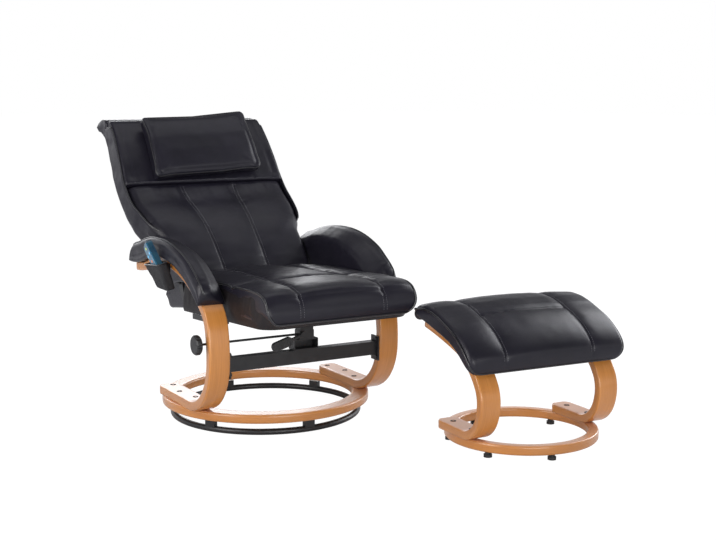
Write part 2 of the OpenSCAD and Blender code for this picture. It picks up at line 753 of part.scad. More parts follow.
// Backrest: places along its front, and heights in front of that line
back_start = [131, 445];
function back_at(s) = along(back_start, back_lean, back_lens, back_turns, s);
back_width_shares = [[0, 0.726], [0.113, 0.729], [0.165, 0.775], [0.205, 0.82], [0.241, 0.838], [0.263, 0.862],
    [0.284, 0.9], [0.308, 0.937], [0.39, 0.982], [0.505, 1.01], [0.6, 1.01], [0.7, 1.002], [0.8, 0.989], [1, 0.972],
    [1.134, 0.958]];
back_depth_shares = [[0.0376, 2.19], [0.113, 1.585], [0.254, 1.34], [0.386, 1.06], [0.477, 0.92], [0.567, 0.93],
    [0.65, 1], [0.747, 1.1], [0.875, 1.07], [1, 0.95], [1.078, 1.07], [1.134, 1.22]];
back_rear_shares = [[0.21, 1], [0.241, 0.99], [0.263, 0.962], [0.284, 0.925], [0.308, 0.9], [0.36, 0.97], [0.41, 1]];
function back_w(s) = back_half_w * lookup(s / back_len, back_width_shares);
function back_d(s) = back_depth * lookup(s / back_len, back_depth_shares);
function back_rear(s) = back_w(s) * lookup(s / back_len, back_rear_shares);

back_foot = -45;
board_start = -30;
board_end = back_len + 12;
shell_start = 75;
shell_gap = 0.4;
board_frames = [for (k = [0:40]) back_at(board_start + (board_end - board_start) * k / 40)];

// Gap between a curved board and the skin that lies on it
skin_gap = 1;
// Foam in front of the board, one station for each place along the back
// Each station: [place, height of the front, share of the crown]
nose = 34;
function nose_front(s) = -nose + sqrt(max(0, nose * nose - pow(s + 11, 2)));
lower_stations = concat(
    [for (s = [-44.5, -42, -36, -28, -19]) [s, nose_front(s), 0]],
    [[-9, 0, 0], [12, 0, 0.3], [40, 0, 0.7], [75, 0, 1], [110, 0, 1], [145, 0, 1], [180, 0, 1], [220, 0, 1],
        [260, 0, 1], [300, 0, 1], [335, 0, 1], [365, 0, 1], [388, -2, 0.8], [400, -6, 0.5], [406, -12, 0.2]]);
module foam(stations, seam, dip, corner) {
    skin([for (q = stations)
        ring_at(back_at(q[0]),
            cushion(back_w(q[0]), skin_gap - foam_t, q[1] - back_crown * 0.7, back_crown * (0.7 + q[2]), seam,
                dip * min(1, q[2] + 0.1), corner, back_crown * 0.3))]);
}

module lower_back_cushion() {
    color(leather) difference() {
        foam(lower_stations, back_seam, back_crown * 0.4, foam_t * 0.3);
        heat_pad_hollow();
    }
}

head_stations = [[407, -12, 0], [412, -3, 0.1], [421, 4, 0.2], [450, 6, 0.2], [480, 6, 0.2], [515, 5, 0.2], [550, 4, 0.2],
    [590, 3, 0.2], [634, 2, 0.2], [658, 1, 0.2], [670, -3, 0.2], [682, -15, 0.1], [694, -28, 0], [701, -35, 0]];
module head_cushion() { color(leather) foam(head_stations, back_seam, 0, foam_t * 0.24); }

module back_board() {
    color("tan") difference() {
        across(-board_half_w, 2 * board_half_w) polygon(strip(board_frames, -foam_t, -foam_t - board_t));
    }
}

// Rear shell: a shaped cover behind the board, open in front where the board lies
// Section of the shell: half width w, depth d, depth a of its front face, depth b of the recess for the board
function shell_section(w, a, b, d) =
    let (r = min(14, (d - a) * 0.3), rim = board_half_w + play, side = max(w, rim + 3 * play))
    mirrored([
        [0, -b],
        [rim, -b],
        [rim + play, -a],
        [side - r * 0.4, -a],
        [side, -a - r * 0.4],
        [side, -(a + d) / 2],
        [side - r * 0.1, -d + r * 0.8],
        [side - r * 0.9, -d],
        [side * 0.5, -d - r * 0.2],
        [0, -d - r * 0.3]]);
shell_stations = [shell_start + shell_gap, 90, 110, 130, 145, 160, 175, 189, 205, 230, 257, 290, 317, 347, 377, 405, 432, 465, 497, 540, 582,
    625, 670];
// Places above the head cushion: place, share of the depth in front of the shell, share of the board's thickness
shell_top_shares = [[0, 0, 1], [8, 0, 0.1], [24, 0.1, 0], [36, 0.32, 0], [48, 0.56, 0], [60, 0.74, 0], [72, 0.88, 0], [80, 0.95, 0]];
shell_top = board_end + play;
module back_shell() {
    color(leather) difference() {
        skin(concat(
            [for (s = shell_stations)
                ring_at(back_at(s), shell_section(back_rear(s), foam_t, foam_t + board_t + skin_gap + play, back_d(s)))],
            [for (q = shell_top_shares)
                let (s = shell_top + q[0], d = back_d(s), a = foam_t + (d - foam_t) * q[1])
                ring_at(back_at(s), shell_section(back_rear(s), a, a + (board_t + skin_gap + play) * q[2], d))]));
        back_motor_places() translate([0, 0, -motor_h - play]) cylinder(d = motor_d + play, h = motor_h + 2 * play);
    }
}

// Lower block of the backrest, behind the seat
block_rear = 148;
block_drop = 106;
block_front = 28;
module back_block() {
    top = back_at(shell_start);
    low = back_at(back_foot);
    color(leather) difference() {
        across(-block_half_w, 2 * block_half_w) polygon([
            beside(low, -foam_t),
            beside(top, -foam_t),
            beside(top, -back_d(shell_start)),
            [hinge_y + block_rear * 1.18, hinge_z - block_drop * 0.64],
            [hinge_y + block_rear, hinge_z - block_drop + 20],
            [hinge_y + block_rear - 6, hinge_z - block_drop + 6],
            [hinge_y + block_rear - 18, hinge_z - block_drop],
            [hinge_y - block_front + 8, hinge_z - block_drop + 22],
            [hinge_y - block_front, hinge_z - block_drop + 30]]);
        across(-board_half_w - play, 2 * board_half_w + 2 * play)
            polygon(strip([for (s = [board_start - play, shell_start + cut]) back_at(s)], -foam_t + cut, -foam_t - board_t - play));
    }
}

// Motors behind the board
back_motor_spots = [[0.3, 0.45], [0.76, 0.45]];
module back_motor_places() {
    for (q = back_motor_spots, x = [-1, 1]) {
        f = back_at(back_len * q[0]);
        p = beside(f, -foam_t - board_t - 1.5 * skin_gap);
        translate([x * back_half_w * 0.34, p.x, p.y]) rotate([f.z, 0, 0]) children();
    }
}

module back_motors() { color("dimgray") back_motor_places() rotate([180, 0, 0]) motor(); }

// Heating element in the lumbar foam
heat_t = 1.5;
heat_half_w = back_seam * 1.5;
heat_low = skin_gap - foam_t + play;
heat_frames = [for (k = [0:12]) back_at(back_low * 0.5 + back_lumbar * k / 6)];
module heat_pad_hollow() {
    across(-heat_half_w - play, 2 * heat_half_w + 2 * play)
        polygon(strip(heat_frames, heat_low + heat_t + 2 * play, -foam_t - cut));
}

module heat_pad() {
    color("firebrick") across(-heat_half_w, 2 * heat_half_w) polygon(strip(heat_frames, heat_low + heat_t, heat_low));
}

// Recline hinge: brackets on the seat, lugs on the backrest, washers and pins
bracket_t = 5;
washer_t = 4;
lug_t = 6;
lug_x = block_half_w;
washer_x = lug_x + lug_t;
bracket_x = washer_x + washer_t;
hinge_r = 18;
bracket_foot = 90;
module hinge_places() {
    both_sides() translate([0, hinge_y, hinge_z]) rotate([0, 90, 0]) children();
}

module hinge_brackets() {
    foot = seat_at(seat_len - bracket_foot + 2 * cut);
    toe = seat_at(seat_len + 12);
    color(steel) both_sides() difference() {
        union() {
            across(bracket_x, bracket_t) polygon([
                [foot.x, foot.y], [toe.x, toe.y], [hinge_y + hinge_r, hinge_z],
                [hinge_y - hinge_r, hinge_z], [toe.x - hinge_r * 0.4, toe.y + seat_base_t - play], [foot.x, foot.y + seat_base_t - play]]);
            translate([bracket_x, hinge_y, hinge_z]) rotate([0, 90, 0]) cylinder(r = hinge_r, h = bracket_t);
        }
        translate([bracket_x - cut, hinge_y, hinge_z]) rotate([0, 90, 0]) cylinder(d = hinge_pin_d, h = bracket_t + 2 * cut);
    }
}

module back_lugs() {
    lug_len = 66;
    start = back_at(-10);
    end = back_at(lug_len);
    color(steel) both_sides() difference() {
        across(lug_x, lug_t) {
            translate([hinge_y, hinge_z]) circle(r = hinge_r);
            polygon([beside(start, -foam_t * 0.42), beside(start, -foam_t * 1.25), beside(end, -foam_t * 1.25),
                beside(end, -foam_t * 0.75)]);
        }
        translate([lug_x - cut, hinge_y, hinge_z]) rotate([0, 90, 0])
            cylinder(d = hinge_pin_d + play / 2, h = lug_t + 2 * cut);
    }
}

module hinge_washers() {
    color(nylon) hinge_places() translate([0, 0, washer_x + play]) difference() {
        cylinder(r = hinge_r * 0.8, h = washer_t - play);
        translate([0, 0, -cut]) cylinder(d = hinge_pin_d, h = washer_t + 2 * cut);
    }
}

module hinge_pins() {
    head_h = 5;
    color(steel) hinge_places() {
        translate([0, 0, lug_x]) cylinder(d = hinge_pin_d, h = bracket_x + bracket_t - lug_x);
        translate([0, 0, bracket_x + bracket_t]) cylinder(d = hinge_pin_d * 1.6, h = head_h);
    }
}

// Head pillow on the flat of the head panel
pillow_gap = 7.9;
pillow_frame = back_at(pillow_start + pillow_len * 0.35);
function pillow_at(s) = [pillow_frame.x + (s - pillow_len * 0.35) * cos(pillow_frame.z),
    pillow_frame.y + (s - pillow_len * 0.35) * sin(pillow_frame.z), pillow_frame.z];
pillow_station_shares = [[0, 0.95, 0.3, 0.66], [0.02, 0.98, 0.12, 0.86], [0.07, 1, 0.02, 1], [0.2, 1, 0, 1.08],
    [0.35, 0.995, 0, 1.1], [0.5, 0.99, 0, 1.1], [0.65, 0.985, 0, 1.06], [0.8, 0.99, 0, 0.98], [0.91, 0.99, 0.02, 0.86],
    [0.955, 0.98, 0.12, 0.74], [0.975, 0.94, 0.28, 0.6]];
module head_pillow() {
    color(leather) skin([for (q = pillow_station_shares)
        ring_at(pillow_at(pillow_len * q[0]),
            cushion(pillow_w / 2 * q[1], pillow_gap + pillow_t * q[2], pillow_gap + pillow_t * q[3],
                back_crown * 1.2, pillow_w * 0.22, 0, pillow_t * 0.3, back_crown * 0.2))]);
}

// Pouch on the right arm, with the remote standing in it
pouch_mid = [-leg_x - leg_w - pouch_depth / 2 - 9, 21, 458];
pouch_out = 12;
remote_lean = 38;
module on_pouch() {
    translate(pouch_mid) rotate([0, -pouch_out, 0]) children();
}

// The pouch widens upwards: its front and rear edges at a height z over its middle
function pouch_front(z) = pouch_w * (-0.5 + 0.16 * (z / pouch_h + 0.5));
function pouch_rear(z) = pouch_w * (0.094 + 0.492 * (z / pouch_h + 0.5));
module remote_pouch() {
    low = -pouch_h / 2;
    rear_top = pouch_h * 0.325;
    top = pouch_h / 2;
    inner_low = low + pouch_wall;
    color([0.16, 0.16, 0.17]) on_pouch() difference() {
        across(-pouch_depth / 2, pouch_depth) polygon([
            [pouch_front(low), low], [pouch_rear(low), low],
            [pouch_rear(rear_top), rear_top], [pouch_front(top), top]]);
        across(-pouch_depth / 2 + pouch_wall, pouch_depth - 2 * pouch_wall) polygon([
            [pouch_front(inner_low) + pouch_wall * 1.1, inner_low], [pouch_rear(inner_low) - pouch_wall * 1.4, inner_low],
            [pouch_rear(pouch_h) - pouch_wall * 1.4, pouch_h], [pouch_front(pouch_h) + pouch_wall * 1.1, pouch_h]]);
    }
}

// Tab that ties the pouch to the outer face of the arm
module pouch_tab() {
    tab_w = 70;
    tab_h = 26;
    arm = leg_at(foot_flat + foot_bend + upright + shoulder + arm_sweep * 0.66);
    color([0.16, 0.16, 0.17]) difference() {
        translate([-leg_x - leg_w - 14, arm.x - tab_w / 2, arm.y - tab_h]) cube([14, tab_w, tab_h]);
        on_pouch() translate([-pouch_depth, -pouch_w, -pouch_h]) cube([1.5 * pouch_depth, 2 * pouch_w, 2 * pouch_h]);
    }
}

remote_y = -38.4;
remote_low = -pouch_h / 2 + pouch_wall + play + remote_w / 2 * sin(remote_lean);
face_t = 3;
module on_remote() {
    on_pouch() translate([-1, remote_y, remote_low]) rotate([-remote_lean, 0, 0]) children();
}

module remote_body() {
    color(plastic) on_remote() translate([remote_t / 2 + face_t / 2, 0, remote_len / 2]) rotate([0, -90, 0])
        rounded_box([remote_len, remote_w, remote_t], remote_w * 0.3);
}

face_len = remote_len * 0.62;
face_mid = remote_len * 0.66;
face_w = remote_w * 0.82;
button_d = 9;
button_h = 2.5;
button_travel = 1.2;
button_places = [[0.34, 0], [0.1, -0.24], [0.1, 0.24], [-0.16, 0]];
module remote_face() {
    color([0.16, 0.5, 0.62]) on_remote() translate([-remote_t / 2 + face_t / 2, 0, face_mid]) rotate([0, -90, 0]) difference() {
        rounded_box([face_len, face_w, face_t], face_w * 0.3);
        for (b = button_places) translate([b.x * face_len, b.y * remote_w, -cut]) cylinder(d = button_d + 2 * play, h = face_t + 2 * cut);
    }
}

module button(k) {
    b = button_places[k];
    on_remote() translate([-remote_t / 2 + face_t / 2 - button_travel - play, 0, face_mid]) rotate([0, -90, 0])
        translate([b.x * face_len, b.y * remote_w, 0]) cylinder(d = button_d, h = button_h);
}

module power_button() { color([0.8, 0.85, 0.3]) button(0); }
module mode_button() { color([0.3, 0.6, 0.9]) button(1); }
module speed_button() { color([0.3, 0.6, 0.9]) button(2); }
module heat_button() { color([0.9, 0.5, 0.3]) button(3); }

// Ottoman, in its own frame
ottoman_turn = -3;
module on_ottoman() {
    translate([ottoman_x, -ottoman_y, 0]) rotate(ottoman_turn) children();
}

ottoman_ring_top = ottoman_glide_h + ottoman_ring_t;
ottoman_foot_reach = 95;
ottoman_turns = [0, 66, 24, 32, 41, 6];
ottoman_lens = [138, 102, 52, 52, 150, 172];
ottoman_len = sum(ottoman_lens);
ottoman_leg_x = ottoman_leg_gap / 2;
function ottoman_leg_at(s) = along([ottoman_foot_reach, ottoman_ring_top + ottoman_leg_t / 2], 180, ottoman_lens, ottoman_turns, s);
ottoman_frames = [for (k = [0:leg_steps]) ottoman_leg_at(ottoman_len * k / leg_steps)];
ottoman_bolt_y = 50;

module ottoman_bolt_places() {
    for (y = [-1, 1])
        translate([ottoman_leg_x + ottoman_leg_w / 2, y * ottoman_bolt_y, ottoman_ring_top + ottoman_leg_t]) children();
}

module ottoman_leg() {
    difference() {
        across(ottoman_leg_x, ottoman_leg_w) polygon(strip(ottoman_frames, ottoman_leg_t / 2, -ottoman_leg_t / 2));
        ottoman_bolt_places() bolt_hole(ottoman_leg_t);
        foot_tip_cut(ottoman_leg_x, ottoman_leg_w, ottoman_foot_reach, ottoman_ring_top - cut, ottoman_leg_t + 2 * cut, foot_corner);
    }
}

module ottoman_leg_right() { color(wood) on_ottoman() mirror([1, 0, 0]) ottoman_leg(); }
module ottoman_leg_left() { color(wood) on_ottoman() ottoman_leg(); }
ottoman_bolt_len = 42;
module ottoman_bolts() { color(steel) on_ottoman() both_sides() ottoman_bolt_places() bolt(ottoman_bolt_len); }

module ottoman_ring() {
    color(wood) on_ottoman() difference() {
        rotate_extrude() polygon(rounded_section(ottoman_ring_d / 2 - ottoman_ring_w, ottoman_ring_d / 2,
            ottoman_glide_h, ottoman_ring_top, ring_edge));
        both_sides() ottoman_bolt_places() translate([0, 0, -ottoman_bolt_len]) cylinder(d = bolt_d, h = ottoman_bolt_len);
    }
}

ottoman_glide_d = 24;
glide_angles = [30, 98, 152, 210, 260];
module ottoman_glides() {
    color(plastic) on_ottoman() for (a = glide_angles)
        rotate(a) translate([ottoman_ring_d / 2 - ottoman_ring_w / 2, 0, 0]) {
            cylinder(d = ottoman_glide_d, h = ottoman_glide_h * 0.55);
            cylinder(d = ottoman_glide_d * 0.7, h = ottoman_glide_h);
        }
}

ottoman_front = ottoman_len - 292;
ottoman_board_steps = 24;
module ottoman_board() {
    frames = [for (k = [0:ottoman_board_steps])
        ottoman_leg_at(ottoman_front + (ottoman_len - ottoman_front) * k / ottoman_board_steps)];
    half = ottoman_w * 0.455;
    color("tan") on_ottoman() across(-half, 2 * half)
        polygon(strip(frames, ottoman_leg_t / 2 + play + ottoman_board_t, ottoman_leg_t / 2 + play));
}

ottoman_station_shares = [[-0.025, 0.9, 0.02, 0.2], [-0.01, 0.945, 0, 0.36], [0.02, 0.975, 0, 0.56], [0.055, 0.99, 0, 0.7],
    [0.1, 0.997, 0, 0.8], [0.16, 1, 0, 0.86], [0.24, 1, 0, 0.91], [0.32, 1, 0, 0.95], [0.42, 1, 0, 1], [0.49, 1, 0, 1.04],
    [0.5, 1, 0, 0.97], [0.51, 1, 0, 1.04], [0.6, 1, 0, 1.07], [0.7, 1, 0, 1.07], [0.8, 1, 0, 1], [0.88, 1, 0, 0.89],
    [0.935, 0.998, 0, 0.74], [0.97, 0.992, 0, 0.63], [0.998, 0.98, 0, 0.54], [1.012, 0.965, -0.22, 0.49],
    [1.035, 0.94, -0.28, 0.4], [1.06, 0.9, -0.26, 0.27], [1.078, 0.855, -0.16, 0.12]];
module ottoman_cushion() {
    run = ottoman_len - ottoman_front;
    low = ottoman_leg_t / 2 + 4 * play + ottoman_board_t + skin_gap;
    color(leather) on_ottoman() skin([for (q = ottoman_station_shares)
        ring_at(ottoman_leg_at(ottoman_front + run * q[0]),
            cushion(ottoman_w / 2 * q[1], low + ottoman_cushion_t * q[2], low + ottoman_cushion_t * q[3],
                ottoman_crown * min(1, q[3]), ottoman_seam, ottoman_crown * 0.3, ottoman_cushion_t * 0.3, 0))]);
}

floor_ring();
ring_posts();
glide_pads();
base_ring();
leg_right();
leg_left();
foot_bolts();
arm_pad_right();
arm_pad_left();
arm_screws();
crossbar();
crossbar_flanges();
flange_bolts();
lock_housing();
clamp_block();
rod_guide();
support_frame();
slide_rails();
control_box();
power_inlet();
remote_pouch();
pouch_tab();
seat_base();
seat_cushion();
seat_runners();
seat_motors();
hinge_brackets();
hinge_pins();
hinge_washers();
back_board();
back_shell();
back_block();
lower_back_cushion();
head_cushion();
back_lugs();
back_motors();
heat_pad();
head_pillow();
recline_knob();
lock_rod();
lever_arm();
lever_paddle();
remote_body();
remote_face();
power_button();
mode_button();
speed_button();
heat_button();
ottoman_ring();
ottoman_leg_right();
ottoman_leg_left();
ottoman_bolts();
ottoman_glides();
ottoman_board();
ottoman_cushion();
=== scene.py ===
# Look of the reflexology chair and its ottoman: upholstery, bent wood, steel, remote, floor, light and camera.
# Lengths in the helpers and tables are millimetres in the frame of the model; meshes are made in metres.
import json
from math import acos, atan2, cos, pi, radians, sin, sqrt

import bmesh
import bpy
import numpy as np
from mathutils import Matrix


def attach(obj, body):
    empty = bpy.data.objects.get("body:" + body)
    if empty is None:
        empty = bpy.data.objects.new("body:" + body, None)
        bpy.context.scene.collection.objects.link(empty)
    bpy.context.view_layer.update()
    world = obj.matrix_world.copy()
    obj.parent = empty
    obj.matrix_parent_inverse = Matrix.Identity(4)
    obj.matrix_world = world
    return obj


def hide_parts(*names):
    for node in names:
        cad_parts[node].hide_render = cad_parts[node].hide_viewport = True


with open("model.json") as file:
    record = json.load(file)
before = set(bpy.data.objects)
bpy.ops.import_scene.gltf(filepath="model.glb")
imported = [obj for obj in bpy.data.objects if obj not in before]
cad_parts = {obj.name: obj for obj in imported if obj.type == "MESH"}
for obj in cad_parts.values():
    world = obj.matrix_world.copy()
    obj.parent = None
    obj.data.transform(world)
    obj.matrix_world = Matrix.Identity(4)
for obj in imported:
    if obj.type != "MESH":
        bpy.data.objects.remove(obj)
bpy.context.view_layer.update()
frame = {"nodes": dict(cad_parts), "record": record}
MM = 0.001
TAU = 2 * pi
QUARTER = pi / 2
SEAM_ROWS = [(side, off) for side in (-1, 1) for off in (-5.5, 5.5)]  # twin rows of stitches at each long seam


# Curves, tables and noise

def smooth(table, x):
    """Monotone cubic interpolation in a table, which lists places and their values by turns."""
    xs, ys = np.reshape(table, (-1, 2)).astype(float).T
    h = np.diff(xs)
    d = np.diff(ys) / h
    m = np.zeros_like(ys)
    m[0], m[-1] = d[0], d[-1]
    for i in range(1, len(xs) - 1):
        if d[i - 1] * d[i] > 0:
            w1, w2 = 2 * h[i] + h[i - 1], h[i] + 2 * h[i - 1]
            m[i] = (w1 + w2) / (w1 / d[i - 1] + w2 / d[i])
    x = np.clip(x, xs[0], xs[-1])
    i = np.clip(np.searchsorted(xs, x) - 1, 0, len(h) - 1)
    u = (x - xs[i]) / h[i]
    a, b = ys[i], ys[i + 1]
    return (a * (2 * u ** 3 - 3 * u ** 2 + 1) + h[i] * m[i] * (u ** 3 - 2 * u ** 2 + u)
            + b * (3 * u ** 2 - 2 * u ** 3) + h[i] * m[i + 1] * (u ** 3 - u ** 2))


class Path:
    """A bent line in the side view, of arcs and straights: start [y, z], heading in degrees, lengths, turns."""

    def __init__(self, start, heading, lens, turns):
        self.rows = []
        s, y, z, h = 0.0, start[0], start[1], heading
        for n, t in zip(lens, turns):
            self.rows.append((s, y, z, h, n, t))
            y, z, h = self.step(y, z, h, n, t, 1)
            s += n
        self.len = s

    @staticmethod
    def step(y, z, h, n, t, share):
        """Place and heading at a share of a piece of length n that turns by t degrees."""
        c, s, a = cos(radians(h)), sin(radians(h)), h - t * share
        if t == 0:
            return y + n * share * c, z + n * share * s, a
        r = n / radians(t)
        return y + r * (s - np.sin(np.radians(a))), z - r * (c - np.cos(np.radians(a))), a

    def at(self, s):
        """y, z and heading at place s."""
        s = np.asarray(s, float)
        out = np.zeros((3,) + s.shape)
        for k, (s0, *piece) in enumerate(self.rows):
            out = np.where((s > s0) | (k == 0), self.step(*piece, (s - s0) / piece[3]), out)
        return out

    def put(self, s, x, d):
        """Points at place s, across x and height d over the line."""
        y, z, h = self.at(s)
        h = np.radians(h)
        return np.stack(np.broadcast_arrays(x + 0 * y, y - d * np.sin(h), z + d * np.cos(h)), -1)

    def up(self, s):
        """The direction of d at place s."""
        h = np.radians(self.at(s)[2])
        return np.stack([0 * h, -np.sin(h), np.cos(h)], -1)


LATTICES = {}


def noise(u, v, seed):
    """Smooth value noise from -1 to 1 with a cell of 1."""
    if seed not in LATTICES:
        LATTICES[seed] = np.random.RandomState(seed).rand(64, 64) * 2 - 1
    g = LATTICES[seed]
    u, v = np.broadcast_arrays(u, v)
    i, j = np.floor(u).astype(int), np.floor(v).astype(int)
    fu, fv = u - i, v - j
    fu, fv = fu * fu * (3 - 2 * fu), fv * fv * (3 - 2 * fv)
    i, j, k, m = i % 64, j % 64, (i + 1) % 64, (j + 1) % 64
    return (g[i, j] * (1 - fu) + g[k, j] * fu) * (1 - fv) + (g[i, m] * (1 - fu) + g[k, m] * fu) * fv


def bump(dist, width):
    return np.exp(-(dist / width) ** 2)


def ramp(x, a, b):
    t = np.clip((x - a) / (b - a), 0, 1)
    return t * t * (3 - 2 * t)


def dome(share):
    """1 in the middle and 0 at the edge."""
    return np.cos(np.clip(share, 0, 1) * QUARTER)


def arch(share):
    """0 at both ends and 1 half way."""
    return np.sin(np.clip(share, 0, 1) * pi)


def edge_drop(inside, r):
    """How far an edge rounded with radius r has fallen at a distance inside it."""
    return r * (1 - np.sqrt(1 - np.clip(1 - inside / r, 0, 1) ** 2))


def run_along(p):
    """Length along a line at each of its points."""
    return np.r_[0, np.cumsum(np.linalg.norm(np.diff(p, axis=0), axis=1))]


def at_run(s, run, p):
    """Points of a line at lengths s along it."""
    return np.stack([np.interp(s, run, v) for v in p.T], -1)


def even(points, step=None, closed=False, count=None):
    """The same line with points equally far apart: about a step, or count of them."""
    p = np.asarray(points, float)
    if closed:
        p = np.vstack([p, p[:1]])
    run = run_along(p)
    count = count or max(2, int(round(run[-1] / step)) + 1) - closed
    return at_run(np.linspace(0, run[-1], count, endpoint=not closed), run, p)


def curved(points, per=8, closed=True):
    """Catmull-Rom curve through the points."""
    p = np.asarray(points, float)
    q = np.vstack([p[-1:], p, p[:2]] if closed else [p[:1], p, p[-1:]])
    a, b, c, d = (q[k:len(q) - 3 + k, None] for k in range(4))
    t = (np.arange(per) / per)[:, None]
    out = 0.5 * (2 * b + (c - a) * t + (2 * a - 5 * b + 4 * c - d) * t ** 2 + (3 * b - a - 3 * c + d) * t ** 3)
    return np.vstack([*out, p[:0] if closed else p[-1:]])


def rounded(x0, x1, y0, y1, r, n):
    """A rectangle with rounded corners, n points to each."""
    a = np.linspace(0, QUARTER, n)
    arc = np.stack([np.cos(a), np.sin(a)], -1) * r - r
    mid, half = np.array([x0 + x1, y0 + y1]) / 2, np.array([x1 - x0, y1 - y0]) / 2
    corners = [(1, 1), (-1, 1), (-1, -1), (1, -1)]
    return np.vstack([mid + (half + arc[::sx * sy]) * [sx, sy] for sx, sy in corners])


def softened(ring, times):
    for _ in range(times):
        ring = (np.roll(ring, 1, 0) + 2 * ring + np.roll(ring, -1, 0)) / 4
    return ring


def tangents(p, closed=True):
    t = np.roll(p, -1, 0) - np.roll(p, 1, 0) if closed else np.gradient(p, axis=0)
    return t / (np.linalg.norm(t, axis=1)[:, None] + 1e-12)


def out_of(outline):
    """Directions out of a closed flat outline."""
    t, (x, y) = tangents(outline), outline.T
    turn = -1.0 if np.sum(x * np.roll(y, -1) - np.roll(x, -1) * y) > 0 else 1.0
    return np.stack([-t[:, 1], t[:, 0]], -1) * turn


def spun(p, angle, i, j):
    """Points or directions turned from axis i towards axis j."""
    p = np.array(p, float)
    p[..., i], p[..., j] = (cos(angle) * p[..., i] - sin(angle) * p[..., j],
                            sin(angle) * p[..., i] + cos(angle) * p[..., j])
    return p


def mirrored(p):
    return p * [-1, 1, 1]


def same(p):
    return p


# Meshes

def placed(name, data):
    obj = bpy.data.objects.new(name, data)
    bpy.context.collection.objects.link(obj)
    return obj


def mesh_object(name, verts, faces, mat, body, slot, node=None, uv=None, tone=None, outward=True):
    """A smooth piece that rides on a body and stands for a node where one is named."""
    mesh = bpy.data.meshes.new(name)
    mesh.from_pydata([tuple(v) for v in np.asarray(verts, float) * MM], [], faces)
    mesh.polygons.foreach_set("use_smooth", [True] * len(mesh.polygons))
    if outward:
        bm = bmesh.new()
        bm.from_mesh(mesh)
        bmesh.ops.recalc_face_normals(bm, faces=bm.faces)
        bm.to_mesh(mesh)
        bm.free()
    if uv is not None:
        layer = mesh.uv_layers.new(name="UVMap")
        index = np.zeros(len(mesh.loops), int)
        mesh.loops.foreach_get("vertex_index", index)
        layer.data.foreach_set("uv", uv[index].ravel())
    if tone is not None:
        layer = mesh.color_attributes.new("tone", "FLOAT_COLOR", "POINT")
        layer.data.foreach_set("color", np.pad(tone, ((0, 0), (0, 1)), constant_values=1).ravel())
    mesh.materials.append(mat)
    mesh.update()
    obj = placed(name, mesh)
    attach(obj, body)
    if node:
        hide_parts(node)
    return obj


def grid_faces(m, n, closed=True, start=0):
    rows, across = range(start, start + (m - 1) * n, n), range(n if closed else n - 1)
    return [(k + j, k + (j + 1) % n, k + (j + 1) % n + n, k + j + n) for k in rows for j in across]


def loft(name, rings, mat, body, slot, node=None, caps=(0.8, 0.4), **per_point):
    """A closed body from rings of points, with drawn-in rings at both ends."""
    p = np.asarray(rings, float)
    n, ends = p.shape[1], []
    if caps:
        ends = [p[0].mean(0), p[-1].mean(0)]
        head, tail = ([end + (ring - end) * k for k in caps] for end, ring in zip(ends, (p[0], p[-1])))
        p = np.concatenate([head[::-1], p, tail])
    m = len(p)
    faces = grid_faces(m, n)
    if caps:
        faces += [(m * n, (j + 1) % n, j) for j in range(n)]
        faces += [(m * n + 1, (m - 1) * n + j, (m - 1) * n + (j + 1) % n) for j in range(n)]
        for key, v in per_point.items():
            v = np.concatenate([v[:1]] * len(caps) + [v] + [v[-1:]] * len(caps)).reshape(-1, v.shape[-1])
            per_point[key] = np.vstack([v, v[:1], v[-1:]])
    else:
        per_point = {key: v.reshape(-1, v.shape[-1]) for key, v in per_point.items()}
    return mesh_object(name, np.vstack([p.reshape(-1, 3), *ends]), faces, mat, body, slot, node, **per_point)


def cushion(name, rings, body, node):
    """A padded leather piece."""
    loft(name, rings, HIDE, body, "black_leather", node)


def piping(name, points, r, body, closed=False, slot="black_leather"):
    """A round cord along a line, its rings carried along without a twist."""
    p = even(points, 5, closed)
    t = tangents(p, closed)
    v = np.cross(t[0], [0, 0, 1] if abs(t[0][2]) < 0.9 else [1, 0, 0])
    sides = []
    for k in t:
        v = v - k * v.dot(k)
        v = v / np.linalg.norm(v)
        sides.append([v, np.cross(k, v)])
    m, n = len(p), 8
    a = np.arange(n) * TAU / n
    rings = p[:, None] + r * np.stack([np.cos(a), np.sin(a)], -1) @ np.array(sides)
    if closed:
        faces = [tuple(v % (m * n) for v in face) for face in grid_faces(m + 1, n)]
        mesh_object(name, rings.reshape(-1, 3), faces, PIPING, body, slot)
    else:
        loft(name, rings, PIPING, body, slot, caps=(0.5,))


def stitches(name, lines, body):
    """Rows of single stitches: each line is (points, directions out of the surface)."""
    long, pitch, wide, high = 4.6, 6.6, 1.1, 0.9
    verts, faces, box = [], [], grid_faces(3, 4) + [(3, 2, 1, 0), (8, 9, 10, 11)]
    for p, ups in lines:
        run = run_along(p)
        for s in np.arange(pitch, run[-1] - pitch, pitch):
            ends = at_run([s, s + long / 2, s + long], run, p)
            up = at_run(s, run, ups)
            up /= np.linalg.norm(up)
            t = ends[2] - ends[0]
            side = np.cross(t / np.linalg.norm(t), up) * wide / 2
            base = len(verts)
            for e, lift, w in zip(ends, (-0.3, high, -0.3), (0.5, 1, 0.5)):
                low, top = e + up * (lift - 0.5), e + up * (lift + 0.3)
                verts += [low - side * w, low + side * w, top + side * w * 0.6, top - side * w * 0.6]
            faces += [tuple(base + v for v in face) for face in box]
    mesh_object(name, verts, faces, THREAD, body, "black_leather", outward=False)


